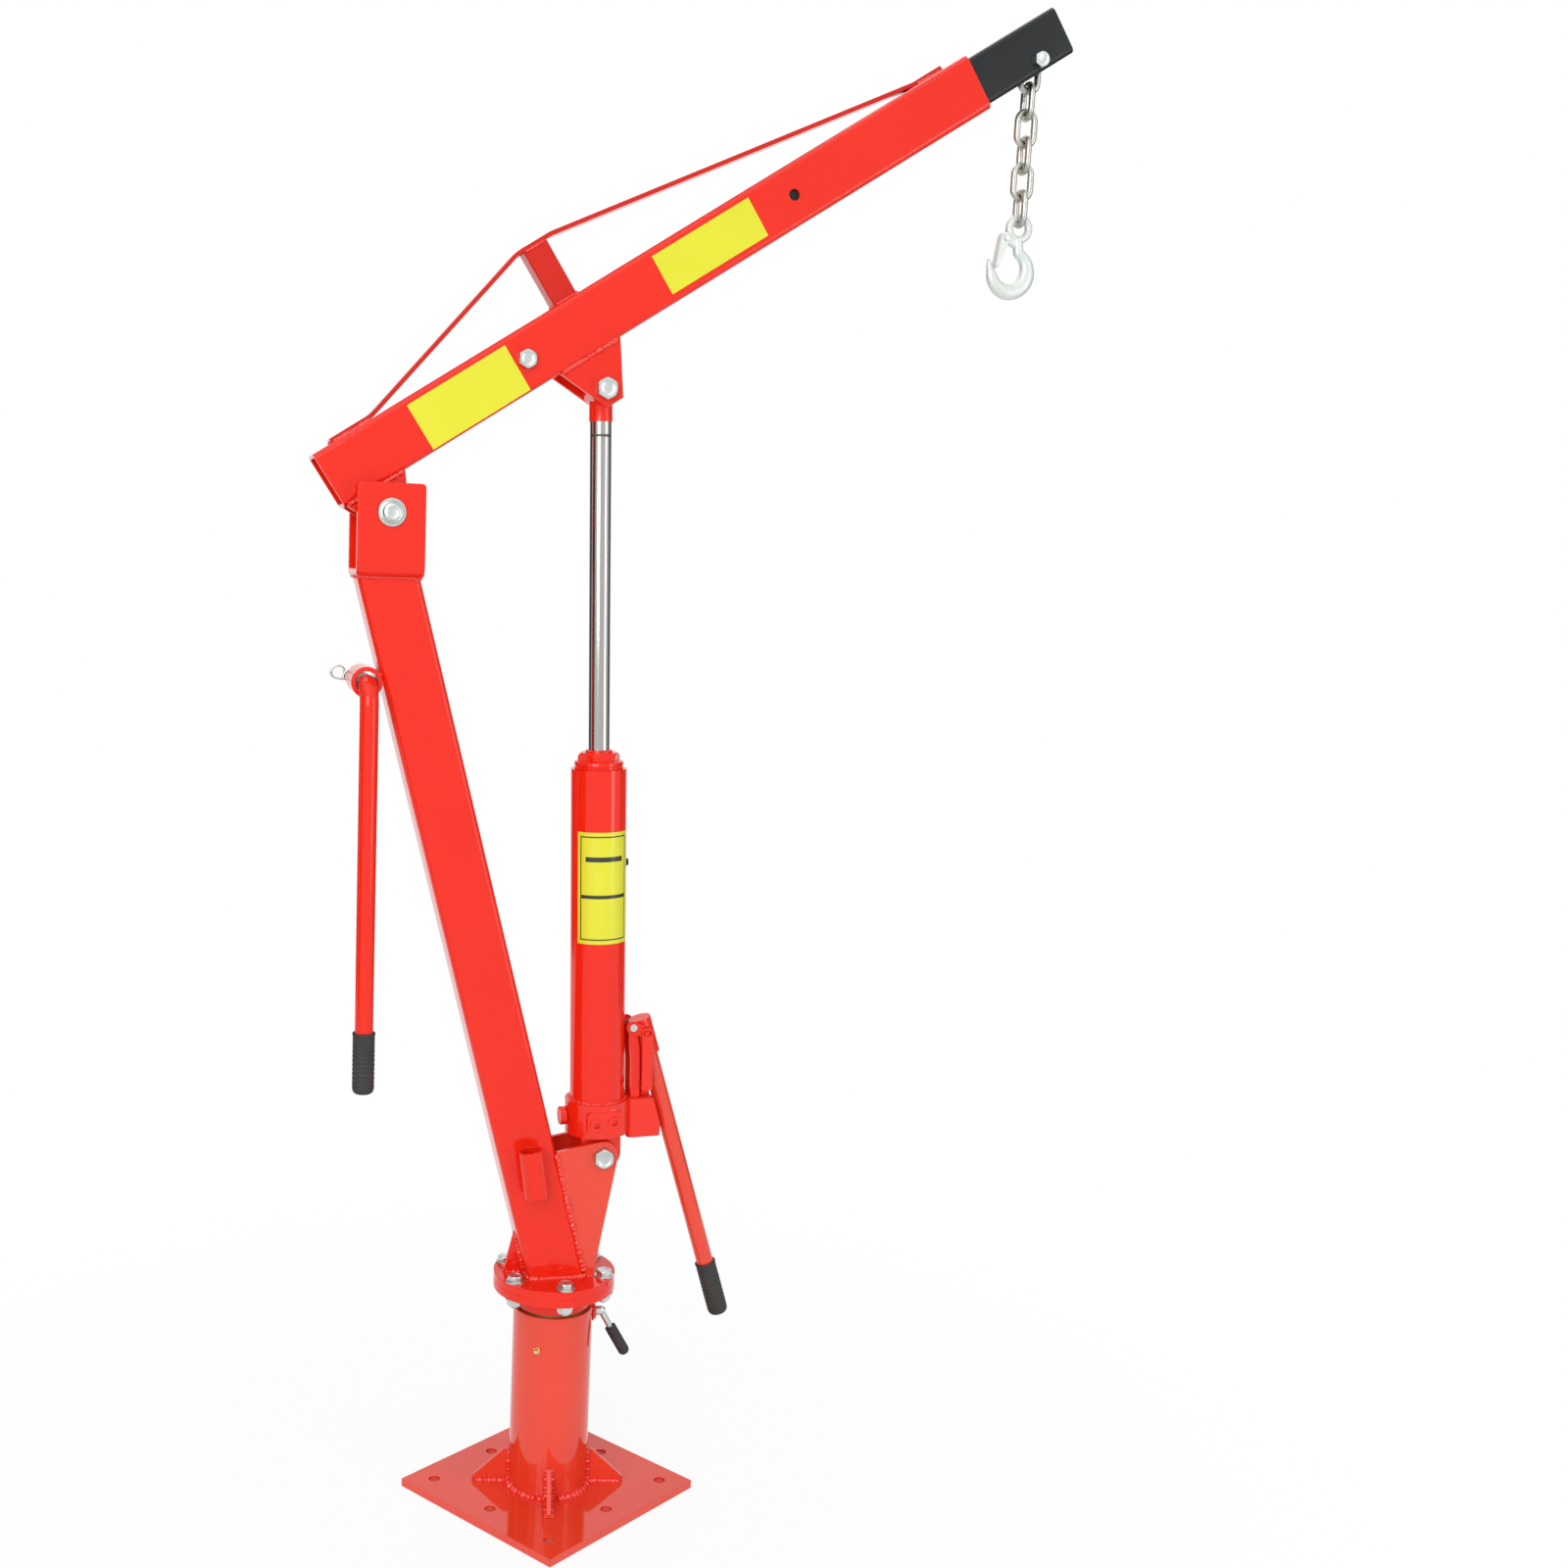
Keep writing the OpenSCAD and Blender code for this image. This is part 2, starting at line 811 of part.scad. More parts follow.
// A rectangle on the x axis with its two lower corners rounded
module channel_blank(w, h, r) {
    translate([-w / 2, r])
        square([w, h - r]);
    translate([-w / 2 + r, 0])
        square([w - 2 * r, r]);
    for (x = [-1, 1])
        translate([x * (w / 2 - r), r])
            circle(r);
}

// A rectangle on the x axis with its two upper corners rounded
module side_blank(w, h, r) {
    translate([0, h])
        mirror([0, 1])
            channel_blank(w, h, r);
}

module boom_pin() {
    tail = clevis_w / 2 + pin_head_t + 4;
    color(zinc)
        translate([pin_x, 0, pin_z])
            rotate([-90, 0, 0]) {
                translate([0, 0, -clevis_w / 2])
                    cylinder(d = pin_d, h = clevis_w / 2 + tail);
                translate([0, 0, -clevis_w / 2 - pin_head_t / 2])
                    cylinder(d = pin_head_d, h = pin_head_t / 2);
                translate([0, 0, -clevis_w / 2 - pin_head_t])
                    cylinder(d1 = pin_d - 2, d2 = pin_d + 3, h = pin_head_t / 2);
            }
}

module boom_pin_collar() {
    color(zinc)
        translate([pin_x, clevis_w / 2, pin_z])
            rotate([-90, 0, 0])
                difference() {
                    cylinder(d = pin_head_d, h = pin_head_t);
                    translate([0, 0, -1])
                        cylinder(r = pin_d / 2 + seat_gap, h = pin_head_t + 2);
                }
}

// Socket on the mast's near side that takes the swivel handle
module handle_socket() {
    z = flange_top + mast_socket_up;
    color(red)
        translate([mast_axis_x(z), -(mast_width + mast_socket_od) / 2, z])
            rotate([0, -mast_socket_lean, 0])
                difference() {
                    cylinder(d = mast_socket_od, h = mast_socket_len, center = true);
                    cylinder(
                        d = mast_socket_od - 2 * mast_socket_wall,
                        h = mast_socket_len + 2,
                        center = true
                    );
                }
}

// Sleeve across the mast's back that the swivel handle hangs in
module handle_sleeve() {
    color(red)
        translate([sleeve_x, 0, sleeve_z])
            difference() {
                across(sleeve_od, mast_width);
                across(sleeve_bore, mast_width + 2);
            }
}

module boom_tube() {
    color(red)
        difference() {
            on_boom()
                translate([-boom_tail, 0, boom_mid])
                    along_x(boom_len)
                        tube_section(boom_width, boom_height, boom_corner, boom_wall);
            for (u = [stop_u, stop_u + stop_step])
                at_boom(u, boom_mid)
                    across(stop_d + 2 * hole_gap, 2 * boom_width);
        }
}

// Knuckle under the boom: a pivot sleeve between two plates
module boom_knuckle() {
    sleeve_len = clevis_gap - 2;
    rear = -boom_tail + 2;
    color(red)
        on_boom()
            difference() {
                union() {
                    across(2 * knuckle_r - 6, sleeve_len);
                    for (y = [-boom_width / 2, boom_width / 2 - lug_t])
                        plate_xz(y, lug_t)
                            lug_outline([0, 0], knuckle_r, rear, rear + knuckle_len);
                }
                across(pin_d + 2 * run_gap, clevis_w);
            }
}

// A lug that tapers from the boom's underside to a round end
module lug_outline(c, r, u0, u1) {
    a = [u0, boom_drop];
    b = [u1, boom_drop];
    polygon([a, touch(a, c, r, 1), c, touch(b, c, r, -1), b]);
    translate(c)
        circle(r);
}

// Rounds each inner point of a path with an arc of n steps
function unit(v) = v / norm(v);
function turn_at(p, i) =
    let (a = unit(p[i] - p[i - 1]), b = unit(p[i + 1] - p[i]))
    atan2(a[0] * b[1] - a[1] * b[0], a * b);
function bent(p, r, n) = concat([p[0]], [
    for (i = [1:len(p) - 2])
        let (t = turn_at(p, i), a = unit(p[i] - p[i - 1]), side = sign(t))
        let (start = p[i] - a * r * tan(abs(t) / 2), c = start + side * r * [-a[1], a[0]])
        for (k = [0:n])
            let (q = k / n * t, v = start - c)
            c + [v[0] * cos(q) - v[1] * sin(q), v[0] * sin(q) + v[1] * cos(q)]
], [p[len(p) - 1]]);

// The path shifted to its left by d
function left_of(p, d) = [
    for (i = [0:len(p) - 1])
        let (a = unit(p[max(i, 1)] - p[max(i, 1) - 1]))
        let (j = min(i, len(p) - 2), b = unit(p[j + 1] - p[j]))
        p[i] + d / (1 + a * b) * [-a[1] - b[1], a[0] + b[0]]
];
function reversed(p) = [for (i = [len(p) - 1:-1:0]) p[i]];

// Flat strap from the boom's rear over the strut to its front
module truss_strap() {
    shelf = strut_w / 2 + 0.17 * strap_bend;
    steps = 5;
    high = boom_high + strut_h;
    far = strap_start + strap_len;
    under = bent([[strap_start, boom_high], [strap_start + strap_rear, boom_high],
                  [strut_u - shelf, high], [strut_u + shelf, high],
                  [far - strap_front, boom_high], [far, boom_high]], strap_bend, steps);
    color(red)
        on_boom()
            plate_xz(-strap_w / 2, strap_w)
                polygon(concat(under, reversed(left_of(under, strap_t))));
}

module truss_strut() {
    strut_corner = 4;
    color(red)
        at_boom(strut_u, boom_high)
            linear_extrude(strut_h)
                tube_section(strut_w, strut_w, strut_corner, strut_wall);
}

module lift_lugs() {
    color(red)
        on_boom()
            for (y = [-lift_gap / 2 - lug_t, lift_gap / 2])
                difference() {
                    plate_xz(y, lug_t)
                        lug_outline([lift_u, -lift_drop], lift_r,
                                    lift_u + 3 - lift_len / 2, lift_u + 3 + lift_len / 2);
                    translate([lift_u, 0, -lift_drop])
                        across(jack_d + 2 * run_gap, 2 * boom_width);
                }
}

module lift_bolt() {
    color(zinc)
        at_boom(lift_u, -lift_drop)
            cross_bolt(jack_d, lift_gap / 2 + lug_t);
}

module stop_bolt() {
    color(zinc)
        at_boom(stop_u, boom_mid)
            cross_bolt(stop_d, boom_width / 2);
}

// Extension: notched at its rear for the stop bolt, slotted under its end for the chain
module extension_tube() {
    notch = stop_d + 2 * hole_gap;
    slot_start = chain_u - slot_len * 0.58;
    color(black)
        on_boom()
            difference() {
                translate([ext_rear, 0, boom_mid])
                    along_x(ext_tip - ext_rear)
                        tube_section(ext_w, ext_h, ext_corner, ext_wall);
                translate([stop_u, 0, boom_mid])
                    across(notch, boom_width);
                translate([ext_rear - 1, -boom_width / 2, boom_mid - notch / 2])
                    cube([stop_u - ext_rear + 1, boom_width, notch]);
                translate([chain_u, 0, chain_w])
                    across(chain_bolt_d + 2 * run_gap, boom_width);
                translate([slot_start, -slot_w / 2, boom_mid - ext_h / 2 - 1])
                    cube([slot_len, slot_w, ext_wall + 1.5]);
            }
}

module chain_bolt() {
    color(zinc)
        at_boom(chain_u, chain_w)
            cross_bolt(chain_bolt_d, ext_w / 2);
}

// One welded link, standing in the XZ plane
module link() {
    straight = link_half - link_r;
    for (s = [-1, 1]) {
        translate([0, 0, s * straight])
            rotate([90, 0, s > 0 ? 0 : 180])
                rotate([0, 0, s > 0 ? 0 : 180])
                    rotate_extrude(angle = 180)
                        translate([link_r, 0])
                            circle(d = wire, $fn = 32);
        translate([s * link_r, 0, 0])
            cylinder(d = wire, h = 2 * straight, center = true, $fn = 32);
    }
}

// Links take turns: odd ones stand along the boom, even ones across it
module chain_link(i) {
    color(zinc)
        translate([chain_at[0], 0, link_z(i)])
            rotate([0, 0, i % 2 == 1 ? 0 : 90])
                link();
}

// Hook: a bowl of changing thickness swept round its centre, from the neck to the point
hook_rings = 30;
hook_sides = 14;
hook_from = 62;
hook_turn = 267;
bowl_at = [bowl_off, -bowl_drop];
ear_at = [-eye_r - eye_wire / 2, -eye_r];
ear_r = 5.5;
ear_w = 8;
function hook_reach(f) = bowl_r + lookup(f, [[0, 0], [0.62, 0], [0.8, -1.5], [0.9, -1.5], [1, 5]]);
function hook_wide(f) = hook_half * lookup(f, [[0, 0.62], [0.3, 1], [0.6, 0.95], [0.86, 0.66], [1, 0.12]]);
function hook_thick(f) =
    hook_half * lookup(f, [[0, 0.55], [0.3, 0.72], [0.6, 0.72], [0.86, 0.55], [1, 0.15]]);
function hook_mid(f) =
    let (a = hook_from - hook_turn * f)
    bowl_at + hook_reach(f) * [cos(a), sin(a)];
neck_at = [-0.5, -eye_r - 1];
function hook_path(i) = i == 0 ? neck_at : hook_mid((i - 1) / (hook_rings - 2));
function hook_ring(i) =
    let (f = max(i - 1, 0) / (hook_rings - 2), c = hook_path(i))
    let (d = unit(hook_path(min(i + 1, hook_rings - 1)) - hook_path(max(i - 1, 0))))
    [for (k = [0:hook_sides - 1])
        let (q = 360 * k / hook_sides, s = hook_wide(f) * cos(q), y = hook_thick(f) * sin(q))
        [c[0] - d[1] * s, y, c[1] + d[0] * s]];

module hook_bowl() {
    n = hook_sides;
    last = hook_rings - 1;
    points = concat([for (i = [0:last]) each hook_ring(i)],
                    [[neck_at[0], 0, neck_at[1]], [hook_path(last)[0], 0, hook_path(last)[1]]]);
    sides = [
        for (i = [0:last - 1], k = [0:n - 1])
            let (a = i * n + k, b = i * n + (k + 1) % n)
            each [[a, b, b + n], [a, b + n, a + n]]
    ];
    ends = [
        for (k = [0:n - 1])
            each [[hook_rings * n, (k + 1) % n, k],
                  [hook_rings * n + 1, last * n + k, last * n + (k + 1) % n]]
    ];
    polyhedron(points, concat(sides, ends));
}

module on_hook() {
    translate([chain_at[0], 0, eye_z])
        children();
}

module hook_body() {
    color(zinc)
        on_hook()
            difference() {
                union() {
                    rotate([90, 0, 0])
                        rotate_extrude()
                            translate([eye_r, 0])
                                circle(d = eye_wire, $fn = 32);
                    hook_bowl();
                    plate_xz(-ear_w / 2, ear_w) {
                        translate(ear_at)
                            circle(ear_r);
                        polygon([ear_at + [-1, ear_r], ear_at + [-1.5, -ear_r], neck_at - [0, 8], neck_at]);
                    }
                }
                translate([ear_at[0], 0, ear_at[1]])
                    across(rivet_d + 2 * seat_gap, 2 * ear_w);
            }
}

module latch_pin() {
    span = ear_w + 2 + 2 * latch_t;
    head_t = 1.5;
    color(zinc)
        on_hook()
            translate([ear_at[0], 0, ear_at[1]]) {
                across(rivet_d, span + 2 * head_t);
                for (s = [-1, 1])
                    translate([0, s * (span / 2 + loose_gap + head_t / 2), 0])
                        across(rivet_d + 3, head_t);
            }
}

// Sheet-metal latch: two flanges on the rivet, joined by a web on the outside
latch_len = bowl_drop - eye_r - 1.5;
latch_lean = 17;
module hook_latch() {
    gap = ear_w + 2;
    span = gap + 2 * latch_t;
    web = ear_r + 1.5;
    color(steel)
        on_hook()
            translate([ear_at[0], 0, ear_at[1]])
                rotate([0, 180 + latch_lean, 0])
                    difference() {
                        translate([0, span / 2, 0])
                            rotate([90, 0, 0])
                                linear_extrude(span)
                                    polygon([[-4, -3], [-4, 2], [-1.5, latch_len], [2, latch_len],
                                             [web, 2], [web, -3], [web - 2, -6], [-1.5, -6]]);
                        translate([0, gap / 2, 0])
                            rotate([90, 0, 0])
                                linear_extrude(gap)
                                    polygon([[-9, -9], [-9, latch_len - 3], [0.3, latch_len - 3],
                                             [ear_r, 3], [ear_r, -9]]);
                        across(rivet_d + 2 * run_gap, 2 * span);
                    }
}

// Chromed rod with the witness groove near its top
module ram_rod() {
    groove_at = rod_top - 17;
    groove_w = 3;
    groove_depth = 0.6;
    color(steel)
        on_jack()
            difference() {
                translate([0, 0, rod_low])
                    cylinder(d = rod_d, h = rod_top - rod_low);
                translate([0, 0, groove_at])
                    difference() {
                        cylinder(d = rod_d + 2, h = groove_w);
                        translate([0, 0, -1])
                            cylinder(d = rod_d - 2 * groove_depth, h = groove_w + 2);
                    }
            }
}

module ram_eye() {
    boss_w = lift_gap - 2;
    color(red)
        on_jack()
            difference() {
                union() {
                    translate([0, 0, rod_top])
                        cylinder(d = rod_d + 2, h = neck_len - eye_boss_r / 2);
                    translate([0, 0, jack_len])
                        across(2 * eye_boss_r, boss_w);
                }
                translate([0, 0, jack_len])
                    across(jack_d + 2 * run_gap, 2 * boss_w);
            }
}

module ram_piston() {
    color(steel)
        on_jack()
            translate([0, 0, rod_low - piston_len])
                cylinder(r = barrel_bore / 2 - run_gap, h = piston_len);
}

module cylinder_barrel() {
    filler_hole = 6;
    color(red)
        on_jack()
            difference() {
                translate([0, 0, barrel_low])
                    cylinder(d = barrel_od, h = barrel_top - barrel_low);
                translate([0, 0, barrel_low - 1])
                    cylinder(d = barrel_bore, h = barrel_top - barrel_low + 2);
                translate([0, 0, filler_t])
                    rotate([0, 90, 0])
                        cylinder(r = filler_hole / 2 + seat_gap, h = barrel_od);
            }
}

module gland_nut() {
    color(red)
        on_jack()
            difference() {
                union() {
                    translate([0, 0, barrel_top - gland_plug])
                        cylinder(r = barrel_bore / 2 - seat_gap, h = gland_plug);
                    translate([0, 0, barrel_top])
                        cylinder(d = barrel_od - 8, h = gland_shoulder);
                    translate([0, 0, barrel_top + gland_shoulder])
                        hexagon(gland_af, gland_h);
                }
                translate([0, 0, barrel_top - gland_plug - 1])
                    cylinder(r = rod_d / 2 + run_gap, h = gland_plug + gland_shoulder + gland_h + 2);
            }
}

// Rubber plug in the barrel's filler hole
filler_t = 353;
module filler_plug() {
    color(black)
        on_jack()
            translate([0, 0, filler_t])
                rotate([0, 90, 0]) {
                    translate([0, 0, barrel_bore / 2 + 1])
                        cylinder(d = 6, h = barrel_wall);
                    translate([0, 0, barrel_od / 2])
                        cylinder(d1 = 10, d2 = 8, h = 3);
                }
}

valve_d = 8;
valve_in = 20;
valve_t = collar_low + cast_h * 0.5;

// Cast foot, collar and pump block in one piece
module cylinder_base() {
    block_r = 6;
    slot_r = (jack_d + loose_gap + foot_under) / 2;
    slot_side = jack_d / 2 + foot_side - slot_r;
    slot_mid = (loose_gap - foot_under) / 2;
    foot_r = foot_half - 4;
    foot_low = -(jack_d / 2 + foot_under + 6);
    pad_t = 0.8;
    pad_x = 0.5;
    pad_w = 43;
    pad_h = 28;
    pad_mid = collar_low + cast_h / 2 - 1.5;
    plug_d = 15;
    plug_gap = 22;
    block_end = block_out + 9;
    color(red)
        on_jack()
            difference() {
                union() {
                    translate([0, 0, collar_low])
                        cylinder(d = collar_d, h = cast_h);
                    plate_xz(-foot_w / 2, foot_w) {
                        translate([-foot_half, foot_low + foot_r])
                            square([2 * foot_half, collar_low + 1 - foot_low - foot_r]);
                        translate([-foot_half + foot_r, foot_low])
                            square([2 * (foot_half - foot_r), foot_r]);
                        for (s = [-1, 1])
                            translate([s * (foot_half - foot_r), foot_low + foot_r])
                                circle(foot_r);
                    }
                    translate([0, 0, block_low])
                        linear_extrude(block_top - block_low)
                            translate([(barrel_od / 2 + block_end) / 2, 0])
                                round_rect(block_end - barrel_od / 2 - seat_gap * 4, block_w, block_r);
                    translate([barrel_od / 2 - 10, -block_w / 2 + block_r, collar_low])
                        cube([20, block_w - 2 * block_r, cast_h]);
                    plate_xz(-collar_d / 2 - pad_t, collar_d / 2)
                        translate([pad_x, pad_mid])
                            round_rect(pad_w, pad_h, 5);
                    for (s = [-1, 1])
                        translate([pad_x + s * plug_gap / 2, -collar_d / 4 - pad_t, pad_mid + s])
                            across(plug_d, collar_d / 2 + 5);
                }
                for (s = [-1, 1])
                    translate([pad_x + s * plug_gap / 2, -collar_d / 2 - pad_t + 1.5, pad_mid + s])
                        rotate([90, 0, 0])
                            hexagon(plug_d / 2, 5);
                translate([0, 0, barrel_low])
                    cylinder(r = barrel_od / 2 + seat_gap, h = block_top);
                plate_xz(-foot_w, 2 * foot_w) {
                    translate([-slot_side, slot_mid - slot_r])
                        square([2 * slot_side, 2 * slot_r]);
                    for (s = [-1, 1])
                        translate([s * slot_side, slot_mid])
                            circle(slot_r);
                }
                plate_xz(-block_w, 2 * block_w)
                    polygon([
                        [block_out - 1, block_top + 0.5],
                        [block_end + 1, block_low + 8],
                        [block_end + 1, block_top + 0.5]
                    ]);
                translate([plunger_x, 0, block_top - 45])
                    cylinder(r = plunger_d / 2 + run_gap, h = 50);
                translate([-collar_d, 0, valve_t])
                    rotate([0, 90, 0])
                        cylinder(r = valve_d / 2 + run_gap, h = collar_d / 2 + valve_in + 1);
            }
}

module pump_barrel() {
    color(red)
        on_jack()
            translate([plunger_x, 0, block_top])
                difference() {
                    cylinder(d = pump_od, h = pump_h);
                    translate([0, 0, -1])
                        cylinder(r = plunger_d / 2 + run_gap, h = pump_h + 2);
                }
}

// Two upright links that carry the handle's fulcrum
link_in = 11.2;
link_t = 3.5;
link_head_r = 5;
tine_w = 13;
module fulcrum_links() {
    link_right = plunger_x - tine_w / 2 - 1.2;
    color(red)
        on_jack()
            for (y = [-link_in - link_t, link_in])
                difference() {
                    plate_xz(y, link_t) {
                        translate([fulcrum_x, fulcrum_t])
                            circle(link_head_r);
                        polygon([
                            [fulcrum_x - link_head_r, fulcrum_t],
                            [fulcrum_x + link_head_r - 0.4, fulcrum_t],
                            [link_right, fulcrum_t - 27],
                            [link_right, block_top],
                            [fulcrum_x - link_head_r + 3, block_top],
                            [fulcrum_x - link_head_r + 3, fulcrum_t - 42]
                        ]);
                    }
                    translate([fulcrum_x, 0, fulcrum_t])
                        across(fulcrum_d + 2 * seat_gap, block_w);
                }
}

fork_in = bar_d / 2 + socket_wall + 1.3;
fork_t = 3;
// Two rivets that join the fork's plates to the links
module fulcrum_pin() {
    head_t = 2;
    out = fork_in + fork_t + loose_gap;
    color(zinc)
        on_jack()
            translate([fulcrum_x, 0, fulcrum_t])
                for (s = [-1, 1]) {
                    translate([0, s * (link_in + out) / 2, 0])
                        across(fulcrum_d, out - link_in);
                    translate([0, s * (out + head_t / 2), 0])
                        across(fulcrum_d + 3, head_t);
                }
}

module release_valve() {
    knob_d = 22;
    knob_t = 8;
    slot = 3;
    color(zinc)
        on_jack()
            translate([0, 0, valve_t])
                rotate([0, -90, 0])
                    difference() {
                        union() {
                            translate([0, 0, collar_d / 2 - valve_in])
                                cylinder(d = valve_d, h = valve_in + 1);
                            translate([0, 0, collar_d / 2 + loose_gap])
                                cylinder(d = knob_d, h = knob_t);
                        }
                        translate([-knob_d, -slot / 2, collar_d / 2 + loose_gap + knob_t - slot])
                            cube([2 * knob_d, slot, slot + 1]);
                    }
}

tine_in = fork_in + fork_t + 1;
tine_t = 3;
trunnion_t = fulcrum_t - crank * sin(crank_low);
yoke_low = block_top + pump_h + 4;
yoke_t = 6;
neck_d = plunger_d - 4;
module pump_plunger() {
    inside = 38;
    color(steel)
        on_jack()
            translate([plunger_x, 0, block_top - inside]) {
                cylinder(d = plunger_d, h = yoke_low - block_top + inside);
                cylinder(d = neck_d, h = yoke_low + yoke_t - block_top + inside);
            }
}

// Yoke on the plunger's head that straddles the handle's fork and rides on its trunnions
module plunger_yoke() {
    bar_w = plunger_d + 1;
    slide = 1.6;
    slot_d = fulcrum_d + 0.8;
    color(red)
        on_jack()
            translate([plunger_x, 0, 0])
                difference() {
                    union() {
                        translate([-bar_w / 2 - 0.5, -tine_in - tine_t, yoke_low])
                            cube([bar_w, 2 * (tine_in + tine_t), yoke_t]);
                        for (y = [-tine_in - tine_t, tine_in])
                            plate_xz(y, tine_t) {
                                translate([-tine_w / 2, yoke_low])
                                    square([tine_w, trunnion_t - yoke_low]);
                                translate([0, trunnion_t])
                                    circle(d = tine_w);
                            }
                    }
                    cylinder(r = neck_d / 2 + seat_gap, h = 2 * fulcrum_t);
                    plate_xz(-block_w, 2 * block_w)
                        translate([0, trunnion_t]) {
                            square([2 * slide, slot_d], center = true);
                            for (s = [-1, 1])
                                translate([s * slide, 0])
                                    circle(d = slot_d);
                        }
                }
}

// The handle's axis lies beside the fulcrum and leans out from the jack
module on_handle() {
    on_jack()
        translate([fulcrum_x, 0, fulcrum_t])
            rotate([0, 180 - handle_lean, 0])
                translate([-handle_off, 0, 0])
                    children();
}

socket_end = -4;
module handle_fork() {
    crank_x = crank * cos(crank_low);
    crank_z = -crank * sin(crank_low);
    color(red) {
        on_handle()
            translate([0, 0, socket_end])
                difference() {
                    cylinder(r = bar_d / 2 + socket_wall, h = socket_len);
                    translate([0, 0, 4])
                        cylinder(r = bar_d / 2 + loose_gap, h = socket_len);
                }
        on_jack()
            translate([fulcrum_x, 0, fulcrum_t])
                difference() {
                    union() {
                        for (y = [-fork_in - fork_t, fork_in])
                            plate_xz(y, fork_t) {
                                circle(8);
                                translate([crank_x, crank_z])
                                    circle(7);
                                rotate(-crank_low)
                                    translate([0, -7])
                                        square([crank, 14]);
                            }
                        for (s = [-1, 1])
                            translate([crank_x, s * (fork_in + (fork_t + tine_t + 1) / 2), crank_z])
                                across(fulcrum_d, fork_t + tine_t + 1.5);
                        translate([crank_x + 1, 0, crank_z])
                            across(5, 2 * fork_in);
                    }
                    across(fulcrum_d + 2 * run_gap, block_w * 2);
                    rotate([0, 180 - handle_lean, 0])
                        translate([-handle_off, 0, socket_end + 4])
                            cylinder(r = bar_d / 2 + loose_gap, h = socket_len);
                }
    }
}

module pump_bar() {
    color(red)
        on_handle()
            translate([0, 0, socket_end + 4])
                cylinder(d = bar_d, h = pump_bar_len - 10);
}

// Moulded grip closed by a rounded end, along +Z from its mouth
module grip(len) {
    end_r = 4;
    floor_t = 6;
    difference() {
        union() {
            cylinder(d = grip_d, h = len - end_r);
            translate([0, 0, len - end_r]) {
                rotate_extrude()
                    intersection() {
                        translate([grip_d / 2 - end_r, 0])
                            circle(end_r);
                        square(grip_d);
                    }
                cylinder(r = grip_d / 2 - end_r, h = end_r);
            }
        }
        translate([0, 0, -1])
            cylinder(r = bar_d / 2 + seat_gap, h = len - floor_t + 1 + seat_gap);
    }
}

module pump_grip() {
    color(black)
        on_handle()
            translate([0, 0, socket_end + pump_bar_len - grip_len])
                grip(grip_len);
}

// Swivel handle: a short leg through the sleeve, an elbow, and a long leg that hangs
module swivel_bar() {
    color(red)
        translate([sleeve_x, 0, leg_z])
            difference() {
                union() {
                    translate([0, (leg_far - leg_near) / 2, 0])
                        across(bar_d, leg_far + leg_near);
                    translate([0, -leg_near, -elbow_r])
                        rotate([90, 0, -90])
                            rotate_extrude(angle = 90)
                                translate([elbow_r, 0])
                                    circle(d = bar_d);
                    translate([0, -leg_near - elbow_r, -swivel_bar_len + 6])
                        cylinder(d = bar_d, h = swivel_bar_len - 6 - elbow_r);
                }
                translate([0, leg_far - clip_in, 0])
                    rotate([0, 90, 0])
                        cylinder(r = clip_wire / 2 + loose_gap, h = 2 * bar_d, center = true);
            }
}

module swivel_grip() {
    color(black)
        translate([sleeve_x, -leg_near - elbow_r, leg_z - swivel_bar_len + grip_len])
            mirror([0, 0, 1])
                grip(grip_len);
}

// Hairpin clip: one leg through the handle, an open loop, and one leg sprung over it
clip_wire = 3;
clip_in = 7;
clip_loop = 8;
clip_rings = 44;
clip_sides = 8;
function clip_path(i) =
    let (straight = 10, loop = 26, f = i - straight, hump = bar_d / 2 + clip_wire)
    i <= straight ? [bar_d / 2 + 9 - i / straight * (bar_d + 24), 0]
    : f <= loop ? let (a = -90 - 300 * f / loop)
        [-bar_d / 2 - 15 + clip_loop * cos(a), clip_loop + clip_loop * sin(a)]
    : let (k = (f - loop) / (clip_rings - 1 - straight - loop), a = 205 - 165 * k)
        [-2 + (hump + 4) * cos(a), 1 + (hump + 1) * sin(a) * (a > 180 ? 0.2 : 1)];
function clip_ring(i) =
    let (d = unit(clip_path(min(i + 1, clip_rings - 1)) - clip_path(max(i - 1, 0))), c = clip_path(i))
    [for (k = [0:clip_sides - 1])
        let (q = 360 * k / clip_sides, s = clip_wire / 2 * cos(q), y = clip_wire / 2 * sin(q))
        [c[0] - d[1] * s, y, c[1] + d[0] * s]];

module r_clip() {
    n = clip_sides;
    last = clip_rings - 1;
    points = [for (i = [0:last]) each clip_ring(i)];
    sides = [
        for (i = [0:last - 1], k = [0:n - 1])
            let (a = i * n + k, b = i * n + (k + 1) % n)
            each [[a, b, b + n], [a, b + n, a + n]]
    ];
    ends = [
        for (k = [1:n - 2])
            each [[0, k + 1, k], [last * n, last * n + k, last * n + k + 1]]
    ];
    color(zinc)
        translate([sleeve_x, leg_far - clip_in, leg_z])
            polyhedron(points, concat(sides, ends));
}

